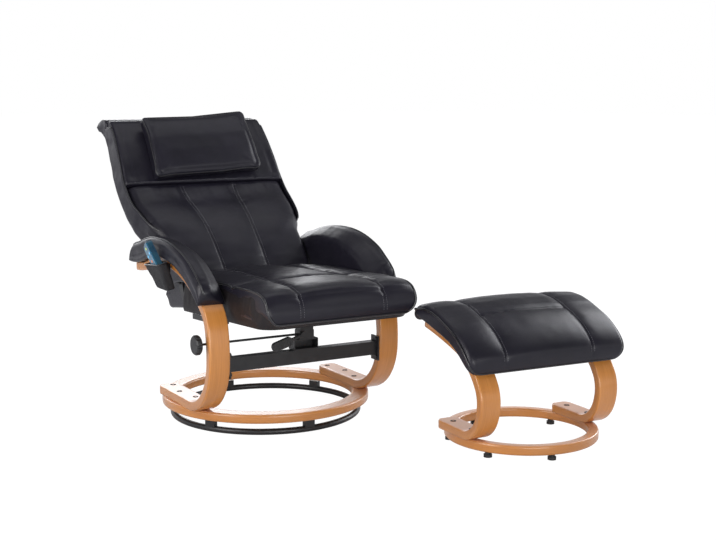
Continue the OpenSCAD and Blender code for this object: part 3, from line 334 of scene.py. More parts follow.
class Section:
    """Points round a padded section: bottom, corners, sides and a dense top, as functions of its sizes."""

    def __init__(self, top, corner=10, side=5, bottom=10):
        bend = np.arange(corner) / corner * QUARTER
        parts = [np.arange(bottom) / bottom, bend, np.arange(side) / side, bend, np.linspace(0, 1, top + 1)]
        t, kind = np.concatenate(parts), np.repeat(range(5), [len(v) for v in parts])
        weight = np.select([kind == 3, kind == 4], [np.sin(t) ** 2, 1.0], 0.0)
        self.t, self.weight, kind = (np.concatenate([v, v[-2:0:-1]]) for v in (t, weight, kind))
        self.kinds = [kind == k for k in range(5)]
        self.sign = np.repeat([1, -1], [len(t), len(t) - 2])

    def points(self, w, a, b, rx, rz, rb):
        """Across and height for each station; rb over 6.5 is a full roll, else a small edge."""
        w, a, b, rx, rz, rb = (v[:, None] for v in (w, a, b, rx, rz, rb))
        rb = np.minimum(rb, (b - a) * np.where(rb > 6.5, 0.5, 0.3))
        rz = np.minimum(rz, (b - a) - rb)
        t, cos_t, sin_t = self.t, np.cos(self.t), np.sin(self.t)
        x = np.select(self.kinds, [(w - rb) * t, w - rb + rb * sin_t, w + 0 * t, w - rx + rx * cos_t,
                                   (w - rx) * (1 - t)])
        d = np.select(self.kinds, [a + 0 * t, a + rb * (1 - cos_t), a + rb + (b - rz - a - rb) * t,
                                   b - rz + rz * sin_t, b + 0 * t])
        return x * self.sign, d


# Materials

def feed(nt, socket, v):
    """Link another node's output to a socket, or set the socket's own value."""
    if isinstance(v, bpy.types.NodeSocket):
        nt.links.new(v, socket)
    else:
        socket.default_value = v


def add(nt, kind, **values):
    """A node with its settings and inputs; an underscore stands for the space in an input's name."""
    n = nt.nodes.new("ShaderNode" + kind)
    for k, v in values.items():
        if k.replace("_", " ") in n.inputs:
            feed(nt, n.inputs[k.replace("_", " ")], v)
        else:
            setattr(n, k, v)
    return n


def math_node(nt, operation, *values):
    n = add(nt, "Math", operation=operation)
    for socket, v in zip(n.inputs, values):
        feed(nt, socket, v)
    return n.outputs["Value"]


def coords(nt, scale, output="Object"):
    return add(nt, "Mapping", Scale=scale, Vector=add(nt, "TexCoord").outputs[output]).outputs["Vector"]


def noise_fac(nt, vector, **values):
    return add(nt, "TexNoise", Vector=vector, **values).outputs["Fac"]


def mix_colors(nt, factor, a, b):
    a, b = (v + (1,) if isinstance(v, tuple) else v for v in (a, b))
    return add(nt, "Mix", data_type="RGBA", Factor=factor, A=a, B=b).outputs["Result"]


def spread(nt, value, low, high, to_low=0.0, to_high=1.0):
    n = add(nt, "MapRange", Value=value, From_Min=low, From_Max=high, To_Min=to_low, To_Max=to_high)
    return n.outputs["Result"]


def surface(name, build, strength, distance, **fixed):
    """A material: build gives the sockets of colour, roughness and height; the fixed values are uniform."""
    mat = bpy.data.materials.new(name)
    mat.use_nodes = True
    nt = mat.node_tree
    bsdf = nt.nodes["Principled BSDF"]
    color, rough, height = build(nt)
    normal = add(nt, "Bump", Strength=strength, Distance=distance, Height=height).outputs["Normal"]
    for k, v in dict(Base_Color=color, Roughness=rough, Normal=normal, **fixed).items():
        feed(nt, bsdf.inputs[k.replace("_", " ")], v)
    return mat


def leather(name, dark, light, rough, grain=0.22, coat=0.04, shine=0.3):
    """Coated leather: pebble grain, fine creases, and slightly uneven colour and gloss."""
    def build(nt):
        v = coords(nt, (1, 1, 1))
        big = noise_fac(nt, v, Scale=9, Detail=4, Roughness=0.6)
        crease = noise_fac(nt, v, Scale=130, Detail=6, Roughness=0.65, Distortion=0.6)
        pebble = add(nt, "TexVoronoi", Scale=520, feature="SMOOTH_F1", Vector=v).outputs["Distance"]
        return (mix_colors(nt, spread(nt, big, 0.3, 0.7), dark, light),
                spread(nt, crease, 0.3, 0.7, rough - 0.04, rough + 0.07), math_node(nt, "ADD", pebble, crease))
    return surface(name, build, grain, 0.0006, Coat_Weight=coat, Coat_Roughness=0.3, Specular_IOR_Level=shine)


def wood(name, dark, mid, light, output="UV", broad_scale=(1.5, 9, 1), fleck_scale=(6.4, 73.6, 1)):
    """Lacquered beech: fibres along U, dark flecks, layered edges where the tone says so, and upward faces
    painted paler as a painted reflection of the light from above.
    """
    def build(nt):
        fibre = noise_fac(nt, coords(nt, (1.6, 46, 1), output), Scale=5, Detail=7, Roughness=0.62,
                          Distortion=0.35)
        broad = noise_fac(nt, coords(nt, broad_scale, output), Scale=3.2, Detail=3)
        fleck = noise_fac(nt, coords(nt, fleck_scale, output), Scale=16, Detail=2)
        color = mix_colors(nt, spread(nt, fibre, 0.32, 0.68), mid, light)
        color = mix_colors(nt, spread(nt, broad, 0.3, 0.75, 0, 0.35), color, dark)
        color = mix_colors(nt, spread(nt, fleck, 0.66, 0.74, 0, 0.45), color, dark)
        tone = add(nt, "VertexColor", layer_name="tone").outputs["Color"]
        split = add(nt, "SeparateColor", Color=tone).outputs
        wave = math_node(nt, "SINE", math_node(nt, "MULTIPLY", split["Green"], 9 * TAU))
        lines = math_node(nt, "MULTIPLY", spread(nt, wave, -0.2, 0.9, 0.1, 0.55), split["Red"])
        color = mix_colors(nt, lines, color, tuple(0.55 * c for c in dark))
        # Painted reflection: faces that point up are mixed towards a pale pink, a painted highlight rather than
        # the wood's own colour
        normal = add(nt, "NewGeometry").outputs["Normal"]
        up = spread(nt, add(nt, "SeparateXYZ", Vector=normal).outputs["Z"], 0.6, 0.97, 0, 0.6)
        return mix_colors(nt, up, color, (0.92, 0.54, 0.36)), spread(nt, fibre, 0.3, 0.7, 0.36, 0.27), fibre
    return surface(name, build, 0.12, 0.0004, Coat_Weight=0.7, Coat_Roughness=0.26)


def plain(name, dark, light, rough, scale=60, grain=0.1, depth=0.0003, **fixed):
    """Paint, plastic, metal or cloth from two near colours and a fine bump."""
    def build(nt):
        v = coords(nt, (1, 1, 1))
        n = noise_fac(nt, v, Scale=scale, Detail=5, Roughness=0.6)
        fine = noise_fac(nt, v, Scale=scale * 9, Detail=3)
        return (mix_colors(nt, spread(nt, n, 0.3, 0.7), dark, light),
                spread(nt, n, 0.3, 0.7, rough - 0.05, rough + 0.06), fine)
    return surface(name, build, grain, depth, **fixed)


def grey(low, high, blue=0.0):
    """A dark and a light grey, and what their blue has on top."""
    return (low, low, low + blue), (high, high, high + blue)


HIDE = leather("black_leather", (0.0062, 0.0056, 0.0105), (0.0112, 0.01, 0.0175), 0.38, shine=0.34)
SIDE_HIDE = leather("brown_black_leather", (0.008, 0.0065, 0.0075), (0.014, 0.011, 0.012), 0.52, shine=0.2)
PIPING = leather("piping_leather", (0.004, 0.004, 0.006), (0.007, 0.007, 0.01), 0.3, 0.12, coat=0.45, shine=0.5)
THREAD = plain("grey_thread", (0.1, 0.1, 0.115), (0.17, 0.17, 0.19), 0.6, scale=300)
WOOD = wood("beech", (0.38, 0.128, 0.02), (0.53, 0.2, 0.036), (0.64, 0.265, 0.058))
STEEL = plain("black_paint", *grey(0.008, 0.013, 0.001), 0.38, scale=40, grain=0.25, depth=0.0002)
# Painted shade: a steel darker than the black paint, standing for the shade inside the bolts' recesses
SHADED_RECESS_STEEL = plain("steel_painted_recess_shade", *grey(0.0025, 0.005, 0.0005), 0.6, scale=40, grain=0.2)
CLOTH = plain("pouch_cloth", (0.008, 0.008, 0.01), (0.016, 0.016, 0.019), 0.8, 160, 0.8, 0.0008)
UNDER = plain("underlining", *grey(0.01, 0.017, 0.001), 0.9, scale=220, grain=0.7, depth=0.0005)
TEAL = plain("remote_teal", (0.006, 0.035, 0.07), (0.012, 0.07, 0.11), 0.3, 25, 0.05, Coat_Weight=0.4)
BY_SLOT = {
    "wood": WOOD, "black_leather": HIDE, "black_steel": STEEL, "pouch_cloth": CLOTH,
    "bright_steel": plain("zinc", *grey(0.45, 0.6, 0.02), 0.32, Metallic=1.0),
    "black_plastic": plain("black_plastic", *grey(0.01, 0.018, 0.001), 0.5, scale=90, grain=0.35),
    "glide_nylon": plain("nylon", *grey(0.7, 0.8, -0.03), 0.45),
    "board": wood("bare_plywood", (0.4, 0.22, 0.1), (0.55, 0.34, 0.17), (0.62, 0.42, 0.24), "Object", (3, 3, 3),
                  (8, 90, 8)),
    "remote_blue": plain("remote_blue", (0.008, 0.06, 0.14), (0.03, 0.17, 0.27), 0.28, 25, 0.05,
                         Coat_Weight=0.5),
    "button_green": plain("key_green", (0.5, 0.62, 0.12), (0.62, 0.72, 0.2), 0.45),
    "button_blue": plain("key_blue", (0.15, 0.5, 0.8), (0.25, 0.6, 0.9), 0.45),
    "button_red": plain("key_red", (0.6, 0.2, 0.1), (0.75, 0.28, 0.15), 0.45),
    "motor_can": plain("motor_can", *grey(0.2, 0.28, 0.01), 0.5),
    "heat_film": plain("heat_film", (0.35, 0.08, 0.05), (0.45, 0.12, 0.08), 0.6)}
OWN_LOOK = {"seat_base": UNDER, "back_board": UNDER, "ottoman_board": UNDER, "hinge_pins": STEEL,
            "flange_bolts": STEEL, "remote_body": TEAL}
for row in frame["record"]["subparts"]:
    materials = frame["nodes"][row["node"]].data.materials
    materials.clear()
    materials.append(OWN_LOOK.get(row["node"], BY_SLOT[row["material_slot"]]))


# Seat: the panel runs over the top, round the nose and back under; the skirt closes sides and front foot

SEAT = Path([-490, 360], -3.3, [592], [0])
SEAT_PROFILE = [
    590, 19, 592, 45, 591, 78, 584, 99, 566, 108, 520, 112.5, 450, 114, 380, 112.5, 300, 110.5, 230, 109,
    205, 108, 180, 108.5, 130, 107, 85, 105.5, 50, 103, 25, 99, 4, 92, -10, 81, -19, 68, -23.5, 52, -24.5, 38,
    -22, 24, -16, 14, -4, 9.5, 12, 12, 30, 17.5, 70, 18.5, 250, 18.5, 450, 18.5]
SEAT_WIDE = [-25, 240, 0, 240, 50, 240.5, 150, 238.5, 300, 236, 480, 233, 560, 231, 592, 228]
SEAT_CROSS = 205
SEAT_EDGE = 11.0
NOSE_S = 70


def seat_seam(s):
    return smooth([-30, 133, 60, 131, 205, 121, 400, 106, 592, 95], s)


def seat_half(s, h):
    """Half width of the cushion, drawn in at the foot of its nose."""
    drop = np.clip((62 - h) / 54, 0, 1)
    return smooth(SEAT_WIDE, s) - 50 * (1 - np.sqrt(1 - drop ** 2)) * (s < NOSE_S)


def seat_shape(u):
    """The cushion's outline at a share u of its half width."""
    s, h = LOOP.T
    face = np.maximum(ramp(h, 60, 92) * ramp(-s, -590, -570),
                      ramp(-s, 20, -60) * ramp(h, 12, 22) * ramp(h, 10, 26))
    half, seam = seat_half(s, h), seat_seam(s)
    x = u * half
    ax = np.abs(x)
    near = np.abs(ax - seam)
    cross = np.abs(s - SEAT_CROSS + 5 * np.cos(x / 90))
    cross_on = ramp(h, 85, 100)
    lift = face * 12 * dome(ax / half) ** 0.8 * np.where(h > 85, 1, 0.55)
    lift -= face * (5.5 * bump(near, 5) + 3.2 * bump(near, 17))
    lift -= cross_on * (4.8 * bump(cross, 5) + 4.0 * bump(cross, 20))
    lift += face * 4.0 * np.where(ax < seam, dome(ax / seam), arch((ax - seam) / (half - seam)))
    lift += face * (1.3 * noise(s / 90, x / 70, 3) + 0.6 * noise(s / 30, x / 34, 4))
    ripple = noise(s / 11 + 3, np.sign(x) * 2 + x / 60, 5) * bump(near, 24)
    ripple += noise(x / 12, s / 60, 6) * bump(cross, 26) * cross_on
    ripple += noise(s / 26, x / 80 + s / 90, 7) * ramp(s, 380, 560) * ramp(h, 90, 100)
    lift += 1.5 * face * ripple * (1 - bump(near, 3)) - edge_drop(half - ax, SEAT_EDGE)
    return SEAT.put(s + SEAT_OUT[:, 0] * lift, x, h + SEAT_OUT[:, 1] * lift)


LOOP = even(curved(np.reshape(SEAT_PROFILE, (-1, 2)), 10), 4.2, closed=True)
SEAT_OUT = out_of(LOOP)
edge_share = SEAT_EDGE / 238
edge = 1 - edge_share + edge_share * np.sin(np.linspace(0, QUARTER, 7))
shares = np.r_[-edge[:0:-1], -edge[0]:edge[0]:113j, edge[1:]]
cushion("seat_cushion_leather", [seat_shape(u) for u in shares], "seat", "seat_cushion")


def nearest(s, h):
    """The point of the cushion's outline nearest to a place and height."""
    return np.argmin(np.abs(LOOP[:, 0] - s) + np.abs(LOOP[:, 1] - h))


def stretch(start, stop):
    """The outline's points from the rear of the panel round the nose."""
    return np.arange(start, stop + 1 + (len(LOOP) if stop <= start else 0)) % len(LOOP)


BORDER_U = 0.985
PROUD = 1.6
front_foot = nearest(-17, 15)
panel_edge = stretch(nearest(575, 104), front_foot)
right, left = (seat_shape(side * BORDER_U)[panel_edge] for side in (-1, 1))
foot_line = np.array([seat_shape(u)[front_foot] for u in np.linspace(-BORDER_U, BORDER_U, 60)])
border = np.vstack([right, foot_line[1:-1], left[::-1]])
piping_line = border.copy()
piping_line[:, 0] += np.sign(border[:, 0]) * PROUD * ramp(np.abs(border[:, 0]), 150, 210)
piping_line[:, 1] -= PROUD * ramp(-border[:, 1], 320, 350)
piping("seat_piping", piping_line, 3.2, "seat")

# Skirt between the piping and the foot of the seat base
FOOT_CORNER, FOOT_HALF, FLAT_HALF = 56.0, 235.5, 178
bend = np.linspace(0, QUARTER, 12)
foot_right = np.vstack([[[-FOOT_HALF, 588]], np.stack([-FOOT_HALF + FOOT_CORNER * (1 - np.cos(bend)),
                                                       FOOT_CORNER * (1 - np.sin(bend))], -1)])
plan = even(np.vstack([foot_right, foot_right[::-1] * [-1, 1]]), 2.0)
top_line = even(border, 6)
top_run, plan_run = run_along(top_line), run_along(plan)


def marks(run, *tests):
    """Lengths at which each test holds first and last, between the ends of the line."""
    hits = [np.flatnonzero(t) for t in tests]
    return [0, *(run[i[0]] for i in hits), *(run[i[-1]] for i in reversed(hits)), run[-1]]


match = np.interp(top_run, marks(top_run, top_line[:, 1] < -430, np.abs(top_line[:, 0]) < FLAT_HALF),
                  marks(plan_run, plan[:, 1] < FOOT_CORNER,
                        (np.abs(plan[:, 0]) < FLAT_HALF) & (plan[:, 1] < 10)))
foot = at_run(match, plan_run, plan)
ahead = tangents(foot, closed=False)
out = np.stack([ahead[:, 1], -ahead[:, 0]], -1)
foot_3d = SEAT.put(foot[:, 1], foot[:, 0], 1.0)
tall = np.linalg.norm(top_line - foot_3d, axis=1)
rows = []
for k in np.linspace(0, 1, 26):
    folds = 2.3 * noise(match / 17 + 0.35 * k, 0.6 * k + 2, 11) + 1.6 * noise(match / 42, k * 1.2, 12)
    swell = 4.0 * arch(k) ** 0.8 * np.clip(tall / 90, 0.12, 1)
    swell += folds * arch(k * 1.15) * np.clip(tall / 100, 0.05, 1)
    swell -= 2.0 * (1 - ramp(k, 0, 0.06)) + 2.0 * ramp(k, 0.9, 1)
    rows.append(top_line * (1 - k) + foot_3d * k + swell[:, None] * np.hstack([out, 0 * out[:, :1]]))
for under in (3, 14):
    rows.append(SEAT.put(foot[:, 1] - out[:, 1] * under, foot[:, 0] - out[:, 0] * under, -0.8))
skirt = mesh_object("seat_skirt", np.concatenate(rows), grid_faces(len(rows), len(top_line), closed=False),
                    SIDE_HIDE, "seat", "black_leather")
solid = skirt.modifiers.new("thick", "SOLIDIFY")
solid.thickness = 0.0016
solid.offset = -1


def seat_seam_line(side, off):
    """A stitch row beside a long seam."""
    index = stretch(nearest(572, 106), nearest(-23, 26))
    s, h = LOOP[index].T
    u = side * (seat_seam(s) + off) / seat_half(s, h)
    along, rise = SEAT_OUT[index].T
    return (np.array([seat_shape(share)[i] for share, i in zip(u, index)]),
            SEAT.put(along, 0, rise) - SEAT.put(0, 0, 0))


stitches("seat_stitching", [seat_seam_line(side, off) for side, off in SEAM_ROWS], "seat")


# Backrest: lower cushion, head panel, shell with side bands, piping

BACK = Path([131, 445], 42, [145, 150, 170, 206, 95], [0, 15, -32, 18, 0])
BACK_LEN = 671.0
BACK_WIDE = [
    0, 0.726, 0.113, 0.729, 0.165, 0.775, 0.205, 0.82, 0.241, 0.838, 0.263, 0.862, 0.284, 0.9, 0.308, 0.937,
    0.39, 0.982, 0.505, 1.01, 0.6, 1.01, 0.7, 1.002, 0.8, 0.989, 1, 0.974, 1.134, 0.974]
BACK_DEEP = [
    0.0376, 2.19, 0.113, 1.585, 0.254, 1.34, 0.386, 1.06, 0.477, 0.92, 0.567, 0.93, 0.65, 1, 0.747, 1.1,
    0.875, 1.07, 1, 0.95, 1.078, 1.07, 1.134, 1.22]
BACK_REAR = [0.21, 1, 0.241, 0.99, 0.263, 0.962, 0.284, 0.925, 0.308, 0.9, 0.36, 0.97, 0.41, 1]


def back_wide(s):
    return 287 * smooth(BACK_WIDE, s / BACK_LEN)


def cushion_wide(s):
    """Half width of the lower back cushion: it fills the space between the arms below the shell's bands."""
    w = back_wide(s) - 6
    low = smooth([-45, 214, 0, 228, 80, 234, 140, 240, 160, 248, 178, 257, 200, 265, 215, 268], s)
    return np.where(s < 215, np.maximum(w, low), w)


def back_deep(s):
    return 94 * smooth(BACK_DEEP, s / BACK_LEN)


def back_rear(s):
    return back_wide(s) * smooth(BACK_REAR, s / BACK_LEN)


def back_seam(s):
    return smooth([-40, 76, 140, 80, 280, 88, 409, 97], s)


LOWER_FRONT = [
    -44.5, -30, -42, -22, -36, -13, -28, -6.5, -19, -2, -9, 0, 12, 2, 40, 5, 75, 8, 110, 10, 180, 10.5,
    260, 10, 335, 8, 365, 7.5, 385, 7.2, 396, 6, 401, 4.2, 404.5, 0, 406.5, -9]
HEAD_FRONT = [
    407.2, -9, 407.9, -2.5, 409, 2, 411.5, 5, 417, 7.2, 450, 8, 480, 7.5, 515, 6.5, 550, 5.5, 590, 4.5,
    634, 4, 658, 3.5, 670, 1.5, 682, -5, 694, -18, 701, -32]
BOARD_TOP = -46.5
HEM_S = 414.0


def lower_top(s, x):
    """Height of the lower cushion's front."""
    w, seam, ax = cushion_wide(s), back_seam(s), np.abs(x)
    near = np.abs(ax - seam)
    fade = ramp(s, -35, 10) * ramp(-s, -404, -380)
    d = smooth(LOWER_FRONT, s) - 2
    d -= fade * (3.0 * bump(near, 4) + 2.6 * bump(near, 20))
    bolster = arch((ax - seam) / (w - seam)) * (ax > seam)
    d += fade * (bolster * (6.0 * ramp(s, 20, 220) + 2.5) + 2.5 * dome(ax / seam) * (ax <= seam))
    d -= 10 * np.clip((ax - w + 62) / 62, 0, 1) ** 2 * ramp(s, 90, 230)
    d += ramp(s, 300, 395) * 1.3 * noise(x / 15, s / 90, 21) * ramp(-s, -407, -396)
    d += fade * (1.0 * noise(s / 80, x / 60, 22) + 0.35 * noise(s / 28, x / 30, 23))
    d += fade * noise(s / 13, x / 50 + 9, 24) * bump(near, 18) * 0.8 * (1 - bump(near, 3))
    return d + ramp(-s, -90, 10) * fade * 1.1 * noise(s / 18, x / 70, 25)


def head_top(s, x):
    """Height of the head panel's front."""
    w, ax = back_wide(s) - 3, np.abs(x)
    body = ramp(s, 415, 440) * ramp(-s, -690, -660)
    d = smooth(HEAD_FRONT, s) + 1.5 * dome(ax / w)
    d += body * (0.9 * noise(s / 75, x / 60, 31) + 0.3 * noise(s / 25, x / 30, 32))
    d -= body * 1.6 * bump(ax - w + 26, 8)
    d += body * 0.5 * noise(s / 22, x / 90, 33) * ramp(ax, 190, 250)
    return d + ramp(-s, -450, -412) * ramp(s, 408, 414) * 1.0 * noise(x / 14, s / 70, 34)


def pad_on(place, s, section, wide, low, top, rx, rz, rb=6):
    """Rings of a padded body over a path; its sizes are numbers or functions of the stations s."""
    low, rx, rz, rb = (v(s) if callable(v) else v + 0 * s for v in (low, rx, rz, rb))
    w = wide(s)
    edge = top(s, w * 0.999)
    x, d = section.points(w, low, edge, rx, rz, rb)
    ss = s[:, None] + 0 * x
    return place(ss, x, d + (top(ss, x) - edge[:, None]) * section.weight[None])


BACK_SECTION = Section(top=70, corner=12, bottom=8)
lower_s = np.r_[-44.5, -43.5, -42, -39, -36, -32, -28:384:4.2, 385, 388.5, 392:402:3, 403.5, 405.5, 406.5]
rings = pad_on(BACK.put, lower_s, BACK_SECTION, lambda s: cushion_wide(s) - 2.5 * ramp(s, 396, 407), BOARD_TOP,
               lower_top, lambda s: 12 + 16 * ramp(s, 60, 240),
               lambda s: 10 + 10 * ramp(s, 60, 240) - 8 * ramp(s, 390, 406))
cushion("lower_back_leather", rings, "backrest", "lower_back_cushion")
head_s = np.r_[407.2, 407.7, 408.4, 409.2, 410.2, 411.5, 414, 417, 420, 424:652:4.4, 653:701.5:3]
rings = pad_on(BACK.put, head_s, BACK_SECTION, lambda s: back_wide(s) - 3 - 2 * ramp(s, 680, 701), BOARD_TOP,
               head_top, 9, 8)
cushion("head_panel_leather", rings, "backrest", "head_cushion")
# The shell: rear face, side bands up to the piping, and the wing over the top
SHELL_TOP = [683.3, 48, 688, 34, 693, 25, 701, 25, 715, 31, 730, 42, 745, 57, 760, 75, 770, 88]
WING_S = 683.3
WING_END = 760
SHELL_FACE = 48.0


def shell_lip(s, face=SHELL_FACE):
    """Depth of the side bands' edge; it meets the face in the wing."""
    low = 3.0 + (face - 3.0) * ramp(s, 640, WING_S + 20)
    return max(low, face - 1.5) if s > 690 else low


def shell_ring(s):
    """Outline of the shell at a station, across and height."""
    w_front, w_rear, deep = back_wide(s), back_rear(s), back_deep(s)
    face = smooth(SHELL_TOP, s) if s > WING_S else SHELL_FACE
    if s > WING_END:
        mid, k = (face + deep) / 2, sqrt(max(1 - ((s - WING_END) / 9.3) ** 2, 0.05))
        face, deep = mid - (mid - face) * k, mid + (deep - mid) * k
    lip = shell_lip(s, face)
    w0, w1 = w_front - 3.5, w_front + 0.5
    r, bow, wider = min(16.0, (deep - face) * 0.45), 2.5, w_rear - w_front
    half = [[0, -face], [w0 * 0.35, -face], [w0 * 0.7, -face], [w0 - 6, -face], [w0 - 1.5, -(face + lip) / 2],
            [w0, -lip - 0.8], [(w0 + w1) / 2, -lip], [w1, -lip - 1.5],
            [w1 + bow * 0.7 + wider * 0.25, -lip - (deep - lip) * 0.3],
            [w1 + bow + wider * 0.6, -lip - (deep - lip) * 0.6], [w_rear + bow * 0.6, -deep + r],
            [w_rear - r * 0.25, -deep + r * 0.28], [w_rear - r, -deep + 0.2], [w_rear * 0.8, -deep - 1.5],
            [w_rear * 0.5, -deep - 3], [w_rear * 0.25, -deep - 4], [0, -deep - 4]]
    half = even(even(half, 1.0), count=150)
    half[1:-1] = (half[:-2] + 2 * half[1:-1] + half[2:]) / 4
    return np.vstack([half, half[-2:0:-1] * [-1, 1]])


shell_s = np.r_[75.6, 76.5, 79, 84:680:6, 681:760:4, 761, 763, 765, 766.8, 768.2, 769]
rings = []
for s in shell_s:
    x, d = shell_ring(s).T
    d -= ramp(-d, 40, 70) * noise(s / 70, x / 60, 41)
    x = x + np.sign(x) * ramp(np.abs(x), 180, 240) * 0.9 * noise(s / 26, d / 30, 42)
    curl = 0.3 * np.maximum(-d - SHELL_FACE, 0) * ramp(s, 715, 769)
    rings.append(BACK.put(s - curl, x, d))
cushion("back_shell_leather", rings, "backrest", "back_shell")
line_s = np.arange(96, 690, 5.0)
lip = np.array([shell_lip(s) for s in line_s])
for side, word in ((-1, "right"), (1, "left")):
    piping("back_piping_" + word, BACK.put(line_s, side * (back_wide(line_s) - 1.2), 0.8 - lip), 2.6,
           "backrest")
lines = []
for side, off in SEAM_ROWS:
    s = np.arange(-20, 398, 4.0)
    x = side * (back_seam(s) + off)
    lines.append((BACK.put(s, x, lower_top(s, x)), BACK.up(s)))
x = np.arange(-262, 263, 4.0)
s = HEM_S + 0 * x
lines.append((BACK.put(s, x, head_top(s, x)), BACK.up(s)))
stitches("back_stitching", lines, "backrest")


def block_rings(outline, half, r=10, crown=2.0):
    """A padded box from a side outline [y, z], extruded across, with rounded ends."""
    p = even(curved(even(outline, 12, True), 4), 5, True)
    ends = [(half - r + r * sin(a), r * (1 - cos(a))) for a in np.radians(np.linspace(90, 0, 7))]
    middle = [(x, 0) for x in np.linspace(-half + r, half - r, 41)[1:-1]]
    rings = []
    for x, c in [(-x, c) for x, c in ends] + middle + ends[::-1]:
        q = p - out_of(p) * (c - crown * cos(x / half * QUARTER) * 0.5)
        rings.append(np.insert(q, 0, x, axis=1))
    return rings


# Lower block of the backrest, from the back's board down to below its hinge
HINGE = np.array([146.0, 412.0])
low, top, deep = BACK.put(np.array([-45, 75, 75]), 0, np.array([-48, -48, -back_deep(75)]))[:, 1:]
block_outline = [low + [1, -1], top + [0, -1], deep + [-1, 1]] + [
    HINGE + v for v in ((174, -67), (148, -86), (142, -100), (130, -106), (-20, -84), (-28, -76))]
cushion("back_block_leather", block_rings(block_outline, 209.5), "backrest", "back_block")

# Head pillow
PILLOW_LEN = 232
PILLOW_HOLD = PILLOW_LEN * 0.35  # the place in it that lies along the back
PILLOW_MIDDLE = 113
y, z, heading = BACK.at(426 + PILLOW_HOLD)
slope = radians(heading)
PILLOW = Path([y - PILLOW_HOLD * cos(slope), z - PILLOW_HOLD * sin(slope)], heading, [PILLOW_LEN], [0])


def pillow_put(s, x, d):
    """The pillow sits a little askew, its left end higher, with drawn-out corners."""
    from_middle = s - PILLOW_MIDDLE
    ear = ramp(np.abs(x), 120, 180) * ramp(np.abs(from_middle), 60, 113)
    s = s + 7 * x / 180 + 9 * ramp(x, 40, 180) + np.sign(from_middle) * 6.0 * ear
    return PILLOW.put(s, x * 1.035 + 2 + 6 * ramp(x, 60, 180) * ramp(-s, -200, 0) + np.sign(x) * 4 * ear, d)


PILLOW_WIDE = [
    0, 174, 4, 177.5, 12, 179.5, 30, 180, 80, 180, 150, 178.5, 200, 179, 216, 178.5, 223, 175, 226.5, 170]
PILLOW_LOW = [0, 23, 4, 14, 14, 9.5, 40, 8.3, 195, 8.3, 212, 11, 221, 15, 226.5, 22]
PILLOW_TOP = [
    0, 33, 3, 41, 8, 46, 18, 50, 46, 54, 90, 57.5, 130, 57.5, 165, 54, 190, 49.5, 205, 45.5, 216, 41, 222, 37,
    226.5, 32]


def pillow_top(s, x):
    w, ax = smooth(PILLOW_WIDE, s), np.abs(x)
    d = smooth(PILLOW_TOP, s) + 5.0 * dome(ax / w) ** 0.7 * ramp(s, 0, 30) * ramp(-s, -226, -200)
    d -= 3.4 * bump(w - ax - 10, 7) * ramp(s, 6, 16) * ramp(-s, -222, -212)
    d -= 2.6 * bump(s - 11, 5) * ramp(w - ax, 6, 16)
    corner = ramp(ax, 90, 165) * ramp(np.abs(s - PILLOW_MIDDLE), 40, 100)
    d += 1.6 * corner * noise((s + ax) / 17, (s - ax) / 60, 51)
    return d + 0.9 * noise(s / 60, x / 55, 52) + 0.3 * noise(s / 22, x / 24, 53)


pillow_s = np.r_[0, 0.8, 1.8, 3, 4.5, 6.5, 9, 12:214:3.4, 215, 217.5, 220, 222, 224, 225.5, 226.5]
rings = pad_on(pillow_put, pillow_s, Section(top=56), lambda s: smooth(PILLOW_WIDE, s),
               lambda s: smooth(PILLOW_LOW, s), pillow_top, 7, 9)
cushion("head_pillow_leather", rings, "pillow", "head_pillow")


def pillow_border(share=0.86):
    """The piping's line, at a share of the way up the pillow's edge."""
    def level(s, top):
        return smooth(PILLOW_LOW, s) * (1 - share) + top * share

    line = []
    for s in np.linspace(6, 218, 30):
        w = smooth(PILLOW_WIDE, s) + 0.6
        line.append([s, w, level(s, pillow_top(s, w))])
    line += [[223.5, x, level(223, smooth(PILLOW_TOP, 223))] for x in np.linspace(168, -168, 40)]
    line += [[s, -w, d] for s, w, d in line[29::-1]]
    line += [[1.2, x, level(3, smooth(PILLOW_TOP, 3))] for x in np.linspace(-172, 172, 40)]
    return pillow_put(*softened(np.array(line), 2).T)


piping("pillow_piping", pillow_border(), 2.9, "pillow", closed=True)


# Chair legs and arms: one bent strip each
LEG = Path([125, 81.5], 180, [240, 237, 105, 65, 444, 114], [0, 85, 17, 36.5, 60.5, -18])
OTTO_LEG = Path([95, 55.5], 180, [138, 102, 52, 52, 150, 172], [0, 66, 24, 32, 41, 6])
OTTO_AT, OTTO_TURN = np.array([494.0, -678.0, 0.0]), radians(-3)
STRIP_WIDE, STRIP_TIP, STRIP_EDGE = 65, 22.0, 3.5


def on_ottoman(p):
    return spun(p, OTTO_TURN, 0, 1) + OTTO_AT


def bent_strip(node, path, x0, thick, body, place):
    """A bent plywood strip with rounded edges; its grain runs along it and its edges show the layers."""
    n, middle = 56, x0 + STRIP_WIDE / 2
    stations = np.r_[0, 0.6, 1.5, 3, 5, 8, 12, 17, 22:path.len - 4:5, path.len - np.array([3.4, 1.6, 0.6, 0])]
    rings, uv, tone = [], [], []
    for s in stations:
        cut, ease = edge_drop(s, STRIP_TIP), edge_drop(min(s, path.len - s), STRIP_EDGE)
        hw, ht = STRIP_WIDE / 2 - cut - ease * 0.6, thick / 2 - ease * 0.8
        pts = even(rounded(-hw, hw, -ht, ht, STRIP_EDGE, 5), 1.0, True)
        x, d = pts[np.linspace(0, len(pts), n, endpoint=False).astype(int)].T
        rings.append(path.put(s, middle + x, d))
        uv.append(np.stack([s + 0 * x, x + 90 * (d > 0)], -1) * MM)
        edge = ramp(np.abs(x), hw - 2.6, hw - 0.8) if hw > 12 else 1 + 0 * x
        tone.append(np.stack([edge, d / thick + 0.5, 0 * x], -1))
    loft(node + "_wood", place(np.array(rings)), WOOD, body, "wood", node, (0.9, 0.5), uv=np.array(uv),
         tone=np.array(tone))


